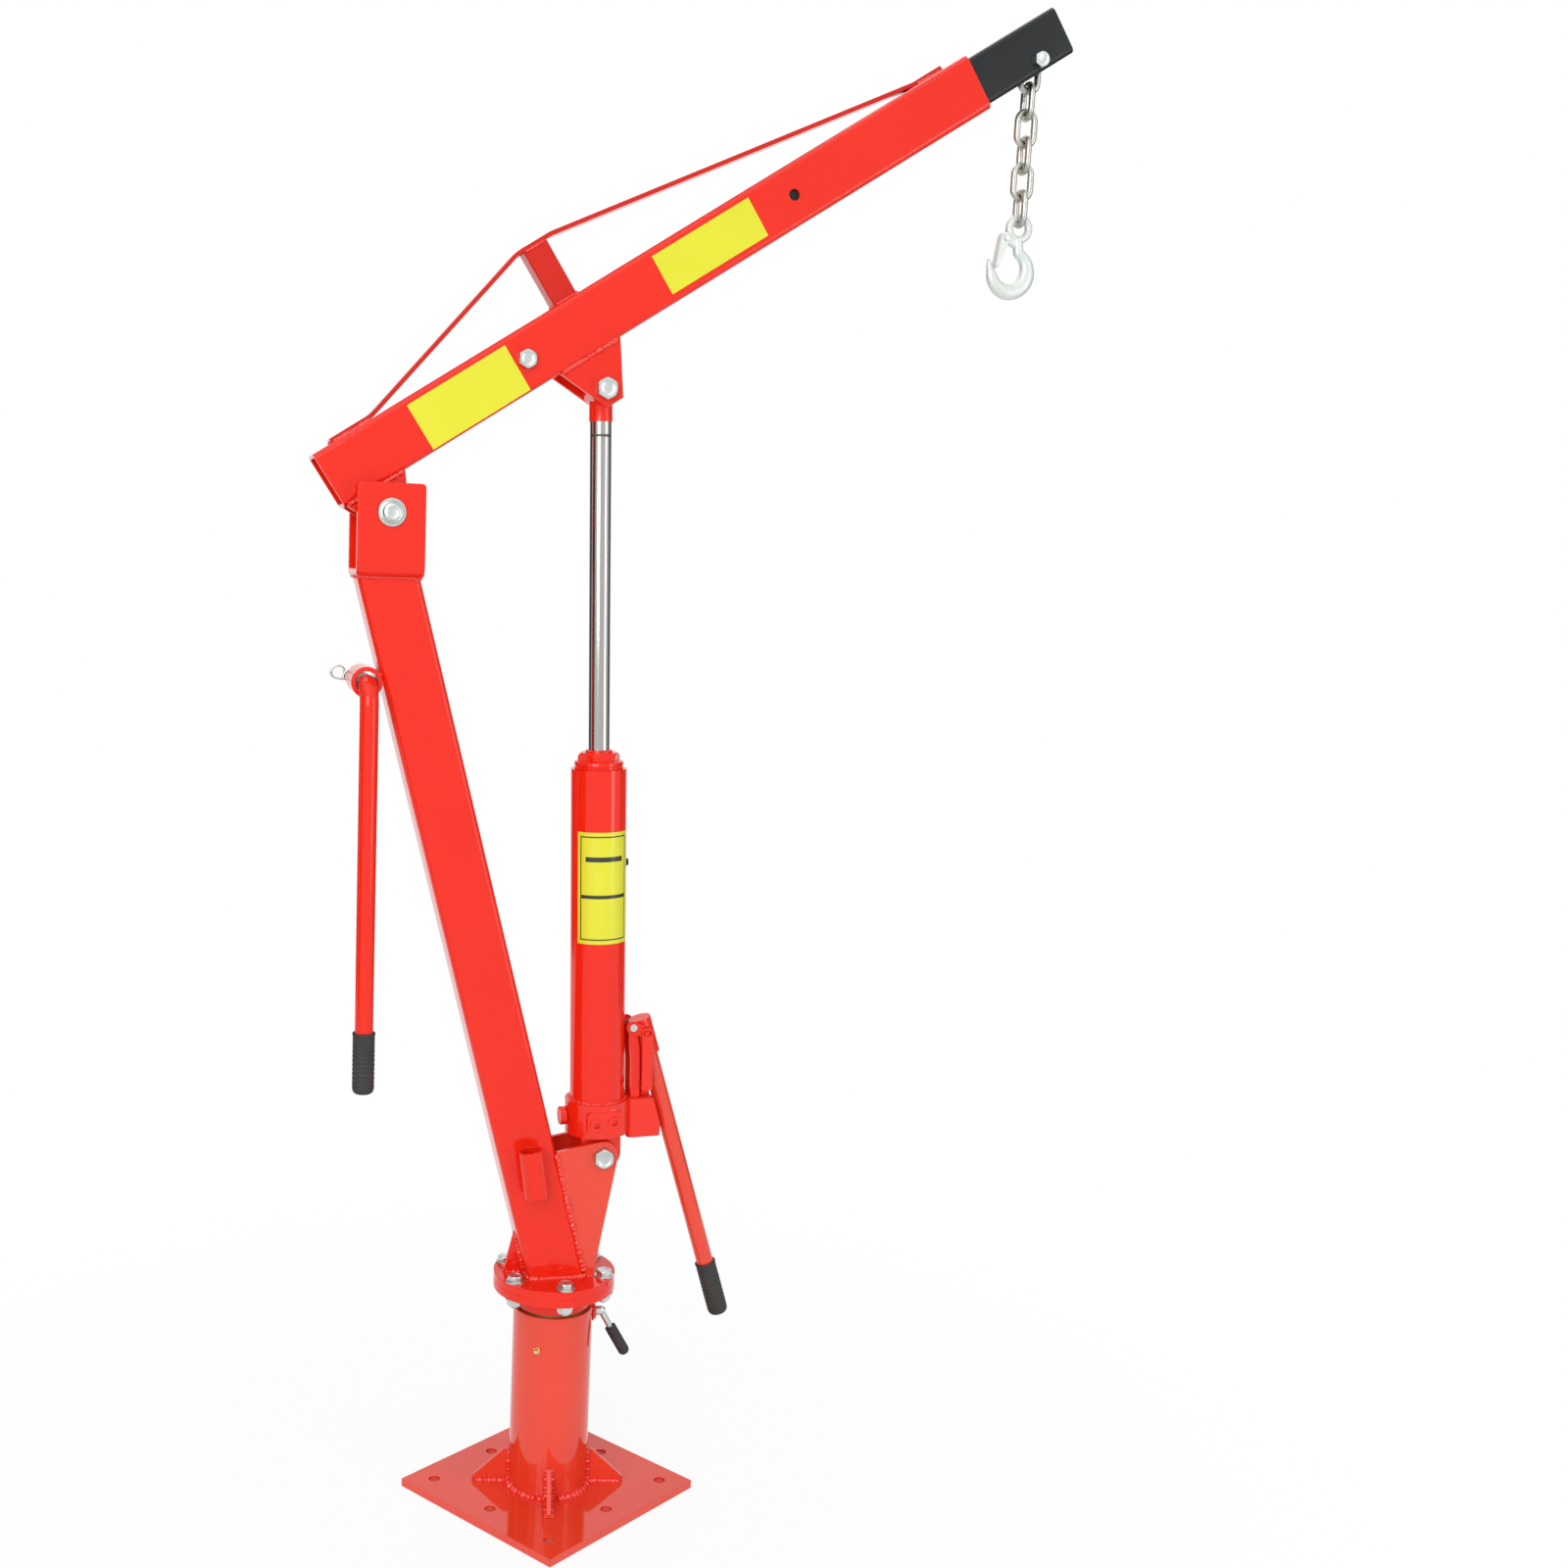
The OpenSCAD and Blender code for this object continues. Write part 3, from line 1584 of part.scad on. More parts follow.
base_plate();
base_gussets();
post_tube();
swivel_bushes();
thrust_washer();
grease_nipple();
lock_boss();
lock_screw();
lock_grip();
spindle();
lower_flange();
upper_flange();
flange_bolts();
flange_nuts();
mast_tube();
mast_gusset();
jack_cheeks();
jack_bolt();
clevis();
boom_pin();
boom_pin_collar();
handle_socket();
handle_sleeve();
boom_tube();
boom_knuckle();
truss_strap();
truss_strut();
lift_lugs();
lift_bolt();
stop_bolt();
extension_tube();
chain_bolt();
chain_link(1);  // chain_link_1
chain_link(2);  // chain_link_2
chain_link(3);  // chain_link_3
chain_link(4);  // chain_link_4
chain_link(5);  // chain_link_5
chain_link(6);  // chain_link_6
hook_body();
latch_pin();
hook_latch();
ram_rod();
ram_eye();
ram_piston();
cylinder_barrel();
gland_nut();
cylinder_base();
pump_barrel();
fulcrum_links();
fulcrum_pin();
filler_plug();
release_valve();
pump_plunger();
plunger_yoke();
handle_fork();
pump_bar();
pump_grip();
swivel_bar();
swivel_grip();
r_clip();
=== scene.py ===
# %% [markdown]
# # A swivel jib crane, dressed for its picture
# The solids of the crane come ready made, in one shared frame: metres, +Z up, the origin under the middle
# of the base plate. This lesson keeps their places and gives them what a solid model lacks: rounded
# edges, welds, chamfered bolts, a forged hook and finishes made from nodes.

# %% Load the solids
import json
import math

import bmesh
import bpy
import numpy as np
from mathutils import Matrix, Vector

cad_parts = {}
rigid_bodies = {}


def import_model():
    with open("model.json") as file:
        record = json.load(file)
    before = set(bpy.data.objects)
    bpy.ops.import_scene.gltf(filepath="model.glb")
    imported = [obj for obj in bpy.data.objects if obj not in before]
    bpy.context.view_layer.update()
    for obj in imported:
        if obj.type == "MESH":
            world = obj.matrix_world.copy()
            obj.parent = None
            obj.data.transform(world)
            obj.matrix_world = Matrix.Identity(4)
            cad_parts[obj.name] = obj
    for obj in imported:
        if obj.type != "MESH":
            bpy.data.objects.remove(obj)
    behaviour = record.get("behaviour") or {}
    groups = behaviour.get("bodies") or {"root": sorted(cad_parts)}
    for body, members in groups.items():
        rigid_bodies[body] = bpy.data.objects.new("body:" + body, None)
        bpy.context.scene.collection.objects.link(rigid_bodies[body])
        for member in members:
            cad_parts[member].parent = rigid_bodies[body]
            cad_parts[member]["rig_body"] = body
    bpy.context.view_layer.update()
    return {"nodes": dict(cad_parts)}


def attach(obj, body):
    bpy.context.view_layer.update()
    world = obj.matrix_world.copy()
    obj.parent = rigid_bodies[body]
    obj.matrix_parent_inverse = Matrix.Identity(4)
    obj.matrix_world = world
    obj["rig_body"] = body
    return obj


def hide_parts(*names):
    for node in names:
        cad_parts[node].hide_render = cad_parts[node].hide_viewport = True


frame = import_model()
bpy.context.scene.view_settings.view_transform = "Standard"

# %% [markdown]
# ## The camera
# A camera is where it stands, where it looks and how long its lens is. These values were fitted to the
# straight edges of the crane. The lens shift moves the picture sideways on the sensor, so that the crane
# stands left of the middle without the camera turning towards the right.

# %% Camera
FRAME_PX = 1600.0
FOCAL_PX = 1805.82
CENTRE_PX = (625.78, 852.93)
CAMERA_YAW, CAMERA_PITCH, CAMERA_ROLL = 0.2534, 0.1501, 0.0376
CAMERA_AT = (-0.46546, -2.00561, 1.13391)
SENSOR = 36.0


def placed(name, data):
    """A new object of this name and data, linked into the scene."""
    item = bpy.data.objects.new(name, data)
    bpy.context.scene.collection.objects.link(item)
    return item


def camera_axes():
    """Right, up and back of a camera that turns by yaw, looks down by pitch and tips by roll."""
    flat = math.cos(CAMERA_PITCH)
    ahead = np.array([math.sin(CAMERA_YAW) * flat, math.cos(CAMERA_YAW) * flat, -math.sin(CAMERA_PITCH)])
    level = np.cross(ahead, [0, 0, 1])
    level /= np.linalg.norm(level)
    above = np.cross(level, ahead)
    right = math.cos(CAMERA_ROLL) * level + math.sin(CAMERA_ROLL) * above
    up = -math.sin(CAMERA_ROLL) * level + math.cos(CAMERA_ROLL) * above
    return right, up, -ahead


camera_data = bpy.data.cameras.new("camera")
camera_data.sensor_width = SENSOR
camera_data.lens = FOCAL_PX * SENSOR / FRAME_PX
camera_data.shift_x = (FRAME_PX / 2 - CENTRE_PX[0]) / FRAME_PX
camera_data.shift_y = (CENTRE_PX[1] - FRAME_PX / 2) / FRAME_PX
camera = placed("camera", camera_data)
turn = Matrix([list(axis) for axis in camera_axes()]).transposed()
camera.matrix_world = Matrix.Translation(CAMERA_AT) @ turn.to_4x4()
bpy.context.scene.camera = camera
print("lens:", round(camera_data.lens, 2), "mm")

# %% [markdown]
# ## Shader maths as Python
# A finish is a small sum of noises. Wiring each Math node by hand hides the sum, so one class wraps a
# socket and lets Python's own operators add the nodes. Everything else, such as a noise or a bump,
# comes from one method that takes the node's type, its settings and its inputs.


# %% A socket with arithmetic
class Field:
    """A value that changes over a surface: a socket with arithmetic."""

    def __init__(self, graph, socket):
        self.graph, self.socket = graph, socket

    def _math(self, operation, a, b=None, clamp=False):
        """A Math node of one or two values; clamp keeps its result between 0 and 1."""
        inputs = {0: a} if b is None else {0: a, 1: b}
        return self.graph.node("ShaderNodeMath", {"operation": operation, "use_clamp": clamp}, inputs)

    # Each operator below adds the Math node that it is named for.
    def __add__(self, other):
        return self._math("ADD", self, other)

    def __sub__(self, other):
        return self._math("SUBTRACT", self, other)

    def __mul__(self, other):
        return self._math("MULTIPLY", self, other)

    def __radd__(self, other):
        return self._math("ADD", other, self)

    def __rsub__(self, other):
        return self._math("SUBTRACT", other, self)

    def __rmul__(self, other):
        return self._math("MULTIPLY", other, self)

    def __lt__(self, other):
        return self._math("LESS_THAN", self, other)

    def __abs__(self):
        return self._math("ABSOLUTE", self)

    def maximum(self, other):
        """The larger of two values."""
        return self._math("MAXIMUM", self, other)

    def clamp(self):
        """The value itself, kept between 0 and 1."""
        return self._math("ADD", self, 0.0, True)


class Graph:
    """A node tree, with one method that adds a node and gives one of its outputs."""

    def __init__(self, tree):
        self.tree = tree

    def feed(self, socket, value):
        """Links a field to a socket, or sets the socket to a plain value."""
        if isinstance(value, Field):
            self.tree.links.new(value.socket, socket)
        else:
            socket.default_value = value

    def node(self, kind, settings, inputs, output=0):
        """Adds a node: settings first, then values or links for its sockets; gives one output."""
        node = self.tree.nodes.new(kind)
        for key, value in settings.items():
            setattr(node, key, value)
        for key, value in inputs.items():
            self.feed(node.inputs[key], value)
        return Field(self, node.outputs[output])


# %% [markdown]
# ## A material as a class
# Every finish starts from the same few things: a Principled shader, Object coordinates and soft noise. A
# class that holds them keeps each finish down to the lines that make it different.


# %% The class for finishes
class Finish(Graph):
    """One material: its node tree, its shader and the helpers that add nodes to it."""

    def __init__(self, name, **constants):
        self.material = bpy.data.materials.new(name)
        self.material.use_nodes = True
        super().__init__(self.material.node_tree)
        self.shader = self.tree.nodes["Principled BSDF"]
        self.place = self.node("ShaderNodeTexCoord", {}, {}, "Object")
        for socket, value in constants.items():
            self.set(socket.replace("_", " "), value)

    def set(self, socket, value):
        """Feeds one of the shader's own sockets."""
        self.feed(self.shader.inputs[socket], value)

    def noise(self, scale, detail=3.0, stretch=(1, 1, 1), seed=0.0):
        """Soft noise from 0 to 1, scale cells to the metre, shorter along an axis stretched above 1."""
        mapping = {"Vector": self.place, "Scale": stretch, "Location": (seed, 0, 0)}
        place = self.node("ShaderNodeMapping", {}, mapping)
        inputs = {"Vector": place, "Scale": scale, "Detail": detail, "Roughness": 0.5}
        return self.node("ShaderNodeTexNoise", {}, inputs)

    def between(self, amount, a, b):
        """Colour a where amount is 0, colour b where it is 1."""
        settings = {"data_type": "RGBA", "clamp_factor": True}
        return self.node("ShaderNodeMix", settings, {0: amount, 6: a, 7: b}, 2)

    def bump(self, height, strength, distance):
        """Shades a relief whose depth in metres is height times distance, by tilting the normal."""
        inputs = {"Height": height, "Strength": strength, "Distance": distance}
        self.set("Normal", self.node("ShaderNodeBump", {}, inputs))


# %% [markdown]
# ## Powder coats
# The frame is sprayed with powder and baked. The film is thick and shiny, with a faint orange peel a few
# millimetres across, and it pulls a little thin and dull in places. Colour, gloss and bump each get a
# small share of noise at their own scale. The truss gets a deeper red, which is painted shade, and the
# pedestal, the cheeks and the pump bar a paler and shinier one, whose paler colour is a painted
# reflection of the bright floor. The casting has a coarser skin, and the extension is satin black.

# %% Paints
RED = ((0.84, 0.020, 0.005, 1), (0.74, 0.014, 0.004, 1))
# A darker copy of the red, for the truss: painted shade.
RED_PAINTED_SHADE = ((0.64, 0.016, 0.006, 1), (0.54, 0.012, 0.005, 1))
# A paler copy of the red, for the pedestal, the cheeks and the pump bar: a painted reflection of the bright
# floor.
RED_PAINTED_SHEEN = ((0.80, 0.050, 0.018, 1), (0.68, 0.036, 0.013, 1))
BLACK = ((0.006, 0.008, 0.009, 1), (0.014, 0.017, 0.018, 1))


def red_coat(name, shades, peel, peel_scale, gloss, shine):
    """Paint of two shades mixed by cloud and grain; peel is its bump, gloss its least roughness."""
    finish = Finish(name, Specular_IOR_Level=shine, IOR=1.5)
    cloud = finish.noise(9.0, 2.0)
    grain = finish.noise(90.0, 2.0, seed=3.0)
    dust = finish.noise(700.0, 1.0, seed=5.0)
    finish.set("Base Color", finish.between((cloud * 0.7 + grain * 0.3 - 0.25).clamp(), *shades))
    finish.set("Roughness", gloss + cloud * 0.06 + dust * 0.03)
    coarse = finish.noise(peel_scale, 2.0, seed=1.0)
    fine = finish.noise(peel_scale * 2.7, 2.0, seed=2.0)
    finish.bump(coarse + 0.25 * fine, peel, 0.001)
    return finish.material


def black_coat(name):
    """Paint of two near blacks mixed by cloud, with a fine grain in its gloss and bump."""
    finish = Finish(name, Specular_IOR_Level=0.34, IOR=1.45)
    grain = finish.noise(420.0)
    cloud = finish.noise(14.0, 2.0, seed=2.0)
    finish.set("Base Color", finish.between(cloud, *BLACK))
    finish.set("Roughness", 0.24 + cloud * 0.12 + grain * 0.06)
    finish.bump(grain, 0.18, 0.0006)
    return finish.material


paint_red = red_coat("red_powder_coat", RED, peel=0.03, peel_scale=170.0, gloss=0.05, shine=0.36)
# The truss's coat is the darker copy of the red: painted shade.
paint_truss_shade = red_coat("red_truss_painted_shade_coat", RED_PAINTED_SHADE, peel=0.03, peel_scale=170.0, gloss=0.08, shine=0.30)
# The pedestal's coat is the paler copy of the red, a painted reflection of the floor, and it is also truly
# glossier.
paint_low_painted_sheen = red_coat("red_pedestal_painted_sheen_coat", RED_PAINTED_SHEEN, peel=0.02, peel_scale=170.0, gloss=0.02, shine=0.62)
paint_weld = red_coat("red_weld_coat", RED, peel=0.5, peel_scale=420.0, gloss=0.02, shine=0.7)
paint_casting = red_coat("red_cast_coat", RED, peel=0.45, peel_scale=150.0, gloss=0.12, shine=0.5)
paint_black = black_coat("black_satin_coat")
print("paints:", [m.name for m in bpy.data.materials if m.name.endswith("_coat")])

# %% [markdown]
# ## Bare metals
# Fasteners, chain and hook are zinc plated: bright, grey with a warm or greenish cloud, and a little
# rough from the tumbling barrel. The jack's rod is hard chrome, ground round and round, so its scratches
# run across its length. Steel, brass and bronze get the same treatment as zinc in their own colours.


# %% Metals
def plated(name, pale, dark, rough, scale, pit=0.14, metal=1.0):
    """Metal of a pale and a dark tone mixed by cloud and pits, which also change its gloss."""
    finish = Finish(name, Metallic=metal)
    cloud = finish.noise(scale)
    pits = finish.noise(scale * 9, seed=4.0)
    finish.set("Base Color", finish.between((cloud * 0.8 + pits * 0.4 - 0.2).clamp(), pale, dark))
    finish.set("Roughness", rough + cloud * 0.14 + pits * 0.08)
    finish.bump(pits, pit, 0.0004)
    return finish.material


def ground(name, pale, dark, rough):
    """Metal with lines round its length: noise squeezed along Z feeds its tone, gloss and bump."""
    finish = Finish(name, Metallic=1.0)
    lines = finish.noise(60.0, stretch=(1, 1, 55))
    cloud = finish.noise(11.0, 2.0, seed=6.0)
    finish.set("Base Color", finish.between(lines * 0.5 + cloud * 0.4, pale, dark))
    finish.set("Roughness", rough + lines * 0.10)
    finish.bump(lines, 0.015, 0.0003)
    return finish.material


zinc = plated("zinc_plate", (0.73, 0.77, 0.745, 1), (0.40, 0.44, 0.42, 1), 0.20, 60.0)
chain_zinc = plated("chain_zinc", (0.58, 0.59, 0.54, 1), (0.34, 0.35, 0.31, 1), 0.24, 70.0)
hook_zinc = plated("hook_zinc", (0.70, 0.745, 0.725, 1), (0.56, 0.60, 0.55, 1), 0.34, 11.0, 0.02, 0.4)
steel = plated("bare_steel", (0.66, 0.66, 0.67, 1), (0.42, 0.42, 0.43, 1), 0.28, 50.0)
# Near black for the floor of the rod's groove: painted shade.
groove_painted_shade = plated("groove_painted_shade", (0.16, 0.15, 0.14, 1), (0.08, 0.08, 0.075, 1), 0.5, 60.0)
bronze = plated("bush_bronze", (0.34, 0.21, 0.10, 1), (0.18, 0.11, 0.05, 1), 0.35, 40.0)
brass = plated("nipple_brass", (0.86, 0.66, 0.28, 1), (0.62, 0.44, 0.15, 1), 0.20, 80.0)
chrome = ground("hard_chrome", (0.46, 0.455, 0.44, 1), (0.38, 0.375, 0.36, 1), 0.08)
print("metals:", [m.name for m in (zinc, chain_zinc, hook_zinc, steel, groove_painted_shade, bronze, brass, chrome)])

# %% [markdown]
# ## Rubber and yellow film
# The grips are soft black vinyl, dull and finely grained. Three plates of yellow film are stuck to the
# crane. Two are plain, and the one on the jack has a thin dark frame, a bar across it and a short strip,
# all drawn from its own UV map, so that they follow the film round the barrel.

# %% Rubber and film
VINYL = ((0.016, 0.016, 0.015, 1), (0.040, 0.040, 0.037, 1))
YELLOW = ((0.75, 0.74, 0.028, 1), (0.69, 0.67, 0.02, 1))
INK = (0.025, 0.024, 0.014, 1)
FRAME_OUTER, FRAME_INNER = (0.44, 0.465), (0.418, 0.453)
BAR_V, BAR_HALF = 0.425, 0.016
STRIP_V, STRIP_HALF, STRIP_REACH = 0.76, 0.022, 0.34


def vinyl(name):
    """Two near blacks mixed by cloud, dulled and roughened by a fine grain."""
    finish = Finish(name, IOR=1.45)
    grain = finish.noise(900.0)
    cloud = finish.noise(35.0, 2.0, seed=1.0)
    finish.set("Base Color", finish.between(cloud, *VINYL))
    finish.set("Roughness", 0.55 + grain * 0.15 + cloud * 0.08)
    finish.bump(grain, 0.30, 0.0005)
    return finish.material


def film_marks(finish):
    """1 on the frame, the bar and the strip, each a range of the film's own u and v.

    The frame is what lies inside its outer line and not inside its inner one."""
    uv = finish.node("ShaderNodeUVMap", {"uv_map": "plate"}, {})
    from_middle = abs(finish.node("ShaderNodeSeparateXYZ", {}, {0: uv}, 0) - 0.5)
    v = finish.node("ShaderNodeSeparateXYZ", {}, {0: uv}, 1)
    inside = (from_middle < FRAME_OUTER[0]) * (abs(v - 0.5) < FRAME_OUTER[1])
    core = (from_middle < FRAME_INNER[0]) * (abs(v - 0.5) < FRAME_INNER[1])
    bar = (abs(v - BAR_V) < BAR_HALF) * inside
    strip = (abs(v - STRIP_V) < STRIP_HALF) * (from_middle < STRIP_REACH)
    return (inside - core + bar + strip).clamp()


def yellow_film(name, framed):
    """Two yellows mixed by cloud; a framed film has its marks laid over them in ink."""
    finish = Finish(name, Coat_Weight=0.2, IOR=1.45)
    cloud = finish.noise(25.0, 2.0)
    film = finish.between(cloud, *YELLOW)
    if framed:
        film = finish.between(film_marks(finish), film, INK)
    finish.set("Base Color", film)
    finish.set("Roughness", 0.30 + cloud * 0.12)
    finish.bump(finish.noise(240.0, 2.0, seed=2.0), 0.06, 0.0005)
    return finish.material


rubber = vinyl("black_vinyl")
film_plain = yellow_film("yellow_film", False)
film_framed = yellow_film("yellow_film_framed", True)
print("soft finishes:", rubber.name, film_plain.name, film_framed.name)

# %% [markdown]
# ## From arrays to meshes
# Every new piece is a surface on a grid. A whole surface is one array of points, rows by columns, and its
# faces are worked out from the row and column numbers. A piece may hold several such surfaces.

# %% Meshes from grids
MM = 0.001
MERGE = 2e-6


def grid_faces(rows, cols, close_rows, close_cols):
    """Each face joins a point to its neighbours in the next row and column, wrapping where closed."""
    i = np.arange(rows if close_rows else rows - 1)[:, None]
    j = np.arange(cols if close_cols else cols - 1)[None, :]
    a, b = i * cols + j, i * cols + (j + 1) % cols
    c, d = ((i + 1) % rows) * cols + (j + 1) % cols, ((i + 1) % rows) * cols + j
    return np.stack([a, b, c, d], -1).reshape(-1, 4)


def surface(points, close_rows=False, close_cols=False):
    """A grid of points in millimetres as one surface: its points and its faces."""
    rows, cols = points.shape[:2]
    return points.reshape(-1, 3), grid_faces(rows, cols, close_rows, close_cols)


def finish_piece(name, mesh, material, body, stands_for, sharp):
    """Smooths a mesh up to the sharp angle, paints it and lets it ride on a body."""
    mesh.polygons.foreach_set("use_smooth", np.ones(len(mesh.polygons), bool))
    mesh.set_sharp_from_angle(angle=math.radians(sharp))
    mesh.materials.clear()
    mesh.materials.append(material)
    piece = placed(name, mesh)
    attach(piece, body)
    if stands_for:
        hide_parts(*stands_for)
    return piece


def make_piece(name, surfaces, material, body, stands_for=(), sharp=32.0):
    """Joins surfaces into one mesh, closes its poles and points it outwards."""
    points, faces, start = [], [], 0
    for p, f in surfaces:
        points.append(p)
        faces.append(f + start)
        start += len(p)
    mesh = bpy.data.meshes.new(name)
    mesh.from_pydata((np.concatenate(points) * MM).tolist(), [], np.concatenate(faces).tolist())
    shape = bmesh.new()
    shape.from_mesh(mesh)
    bmesh.ops.remove_doubles(shape, verts=shape.verts, dist=MERGE)
    bmesh.ops.recalc_face_normals(shape, faces=shape.faces)
    shape.to_mesh(mesh)
    shape.free()
    return finish_piece(name, mesh, material, body, stands_for, sharp)


# %% [markdown]
# ## Turning and sweeping
# Two ways of making a grid are enough for this crane. A lathe turns a profile round an axis, and with
# flats it turns a hexagon. A sweep carries an oval along a path, as wire is bent or a bar is forged.


# %% Turned and swept surfaces
def frame_of(axis):
    """Two directions square to an axis, and the axis itself."""
    axis = np.asarray(axis, float) / np.linalg.norm(axis)
    guide = np.array([0, 0, 1.0]) if abs(axis[2]) < 0.9 else np.array([1.0, 0, 0])
    side = np.cross(guide, axis)
    side /= np.linalg.norm(side)
    return side, np.cross(axis, side), axis


def turned(profile, at, axis, sides=48, flats=None):
    """A profile of (radius, height) turned round an axis; flats cuts it to a hexagon of that width.

    A point is its radius times the cosine and sine of its angle, plus its height along the axis. A
    hexagon's radius is half its width over the cosine of the angle from the nearest flat."""
    profile = np.asarray(profile, float)
    angle = np.arange(sides) * 2 * np.pi / sides
    radius = np.repeat(profile[:, :1], sides, 1)
    if flats:
        radius = np.minimum(radius, flats / 2 / np.cos((angle + np.pi / 6) % (np.pi / 3) - np.pi / 6))
    x, y, z = frame_of(axis)
    ring = radius[..., None] * (np.cos(angle)[:, None] * x + np.sin(angle)[:, None] * y)
    return surface(np.asarray(at) + ring + profile[:, 1, None, None] * z, close_cols=True)


def capped(points, path):
    """A tube's rows of points with a pole added at each end of its path."""
    sides = points.shape[1]
    first, last = (np.broadcast_to(end, (1, sides, 3)) for end in (path[0], path[-1]))
    return np.concatenate([first, points, last])


def swept(path, wide, thick, normal, sides=16, closed=False, square=1.0):
    """An oval carried along a path: wide across it in its plane, thick along the plane's normal.

    A point is the path plus wide times a cosine across it plus thick times a sine along the normal. A
    square below 1 raises the sine and cosine to that power, which makes the oval boxier."""
    path, normal = np.asarray(path, float), np.asarray(normal, float)
    ahead = np.roll(path, -1, 0) - np.roll(path, 1, 0) if closed else np.gradient(path, axis=0)
    across = np.cross(ahead, normal)
    across /= np.linalg.norm(across, axis=1, keepdims=True)
    angle = np.arange(sides) * 2 * np.pi / sides
    c, s = np.cos(angle), np.sin(angle)
    c, s = np.sign(c) * np.abs(c) ** square, np.sign(s) * np.abs(s) ** square
    wide, thick = np.broadcast_to(wide, len(path)), np.broadcast_to(thick, len(path))
    in_plane = (wide[:, None] * c)[..., None] * across[:, None]
    out_of_plane = (thick[:, None] * s)[..., None] * normal
    points = path[:, None] + in_plane + out_of_plane
    return surface(points if closed else capped(points, path), close_rows=closed, close_cols=True)


# %% [markdown]
# ## Places on the crane
# The mast, the boom and the jack each lean, so their details are easiest to place in their own directions.
# These functions turn a place along and across the boom, or along and out from the jack, into the shared
# frame. The sizes are those of the solids, in millimetres.

# %% Places
UP, ACROSS = np.array([0, 0, 1.0]), np.array([0.0, 1.0, 0.0])
FLANGE_TOP = 286.0
MAST_FOOT, MAST_H, MAST_DEPTH, MAST_LEAN = -3.0, 829.0, 68.0, math.radians(14.7)
MAST_TOP = FLANGE_TOP + MAST_H
MAST_HALF = MAST_DEPTH / 2 / math.cos(MAST_LEAN)
UP_MAST = np.array([-math.sin(MAST_LEAN), 0, math.cos(MAST_LEAN)])
BACK_MAST = np.array([-math.cos(MAST_LEAN), 0, -math.sin(MAST_LEAN)])
PIN_UP = 70.0
PIN = np.array([MAST_FOOT - MAST_H * math.tan(MAST_LEAN), 0.0, MAST_TOP + PIN_UP])
BOOM_RISE, BOOM_LOW, BOOM_HIGH, BOOM_SIDE = math.radians(33.5), 30.5, 95.5, 31.0
ALONG_BOOM = np.array([math.cos(BOOM_RISE), 0, math.sin(BOOM_RISE)])
OVER_BOOM = np.array([-math.sin(BOOM_RISE), 0, math.cos(BOOM_RISE)])
LIFT_U, LIFT_DROP = 282.0, 9.5
LIFT = PIN + LIFT_U * ALONG_BOOM - LIFT_DROP * OVER_BOOM
JACK_FOOT = np.array([48.0, 0.0, 435.5])
JACK_LEN = np.linalg.norm(LIFT - JACK_FOOT)
UP_JACK = (LIFT - JACK_FOOT) / JACK_LEN
OUT_JACK = np.array([UP_JACK[2], 0, -UP_JACK[0]])


def leaning(start, along, ahead, y, over, above):
    """A place that lies so far along one direction, across the crane and along a third from a start."""
    times = np.multiply.outer
    return start + times(along, ahead) + times(y, ACROSS) + times(over, above)


def on_boom(u, y, w):
    """A place u along the boom from its pin, y across it and w over the pin."""
    return leaning(PIN, u, ALONG_BOOM, y, w, OVER_BOOM)


def on_jack(x, y, t):
    """A place t up the jack from its lower bolt, x out from its middle and y across."""
    return leaning(JACK_FOOT, x, OUT_JACK, y, t, UP_JACK)


CHAIN_U, CHAIN_W = 923.0, 47.0
CHAIN = on_boom(CHAIN_U, 0, CHAIN_W)
print("chain bolt at", CHAIN.round(1), "lift bolt at", LIFT.round(1))

# %% [markdown]
# ## Rounded edges
# A cut plate or tube never has a knife edge, and a thick coat rounds it further. A copy of each solid is
# merged, its flat faces are joined, and a Bevel modifier rolls every edge sharper than about 35 degrees.
# The light then catches each edge as a thin bright line, which is what makes painted steel look real.

# %% Softened copies of the solids
SHARP = 35.0
SAME_FACE = math.radians(0.4)


def rolled(piece, roll, steps=2):
    """Rolls a piece's edges sharper than 35 degrees to a radius of roll millimetres."""
    bevel = piece.modifiers.new("rolled_edge", "BEVEL")
    bevel.width, bevel.segments = roll * MM, steps
    bevel.limit_method, bevel.angle_limit = "ANGLE", math.radians(SHARP)
    bevel.harden_normals = True


def softened(node, material, roll, steps=2):
    """A merged copy of a solid whose sharp edges are rolled to a radius of roll millimetres."""
    shape = bmesh.new()
    shape.from_mesh(frame["nodes"][node].data)
    bmesh.ops.remove_doubles(shape, verts=shape.verts, dist=MERGE)
    bmesh.ops.dissolve_limit(shape, angle_limit=SAME_FACE, verts=shape.verts, edges=shape.edges)
    mesh = bpy.data.meshes.new(node + "_soft")
    shape.to_mesh(mesh)
    shape.free()
    body = frame["nodes"][node]["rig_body"]
    rolled(finish_piece(node + "_soft", mesh, material, body, (node,), SHARP), roll, steps)


PAINTED = {"lock_boss": 0.8, "spindle": 0.8, "lower_flange": 1.0, "upper_flange": 1.0, "mast_tube": 0.6,
           "mast_gusset": 1.0, "clevis": 1.2, "handle_socket": 0.7, "handle_sleeve": 0.8, "boom_tube": 0.7,
           "boom_knuckle": 0.9, "ram_eye": 1.0, "cylinder_barrel": 1.6, "pump_barrel": 0.6,
           "fulcrum_links": 0.5, "handle_fork": 0.6}
# The truss gets the darker red, which is painted shade.
TRUSS = {"truss_strap": 0.9, "truss_strut": 0.6}
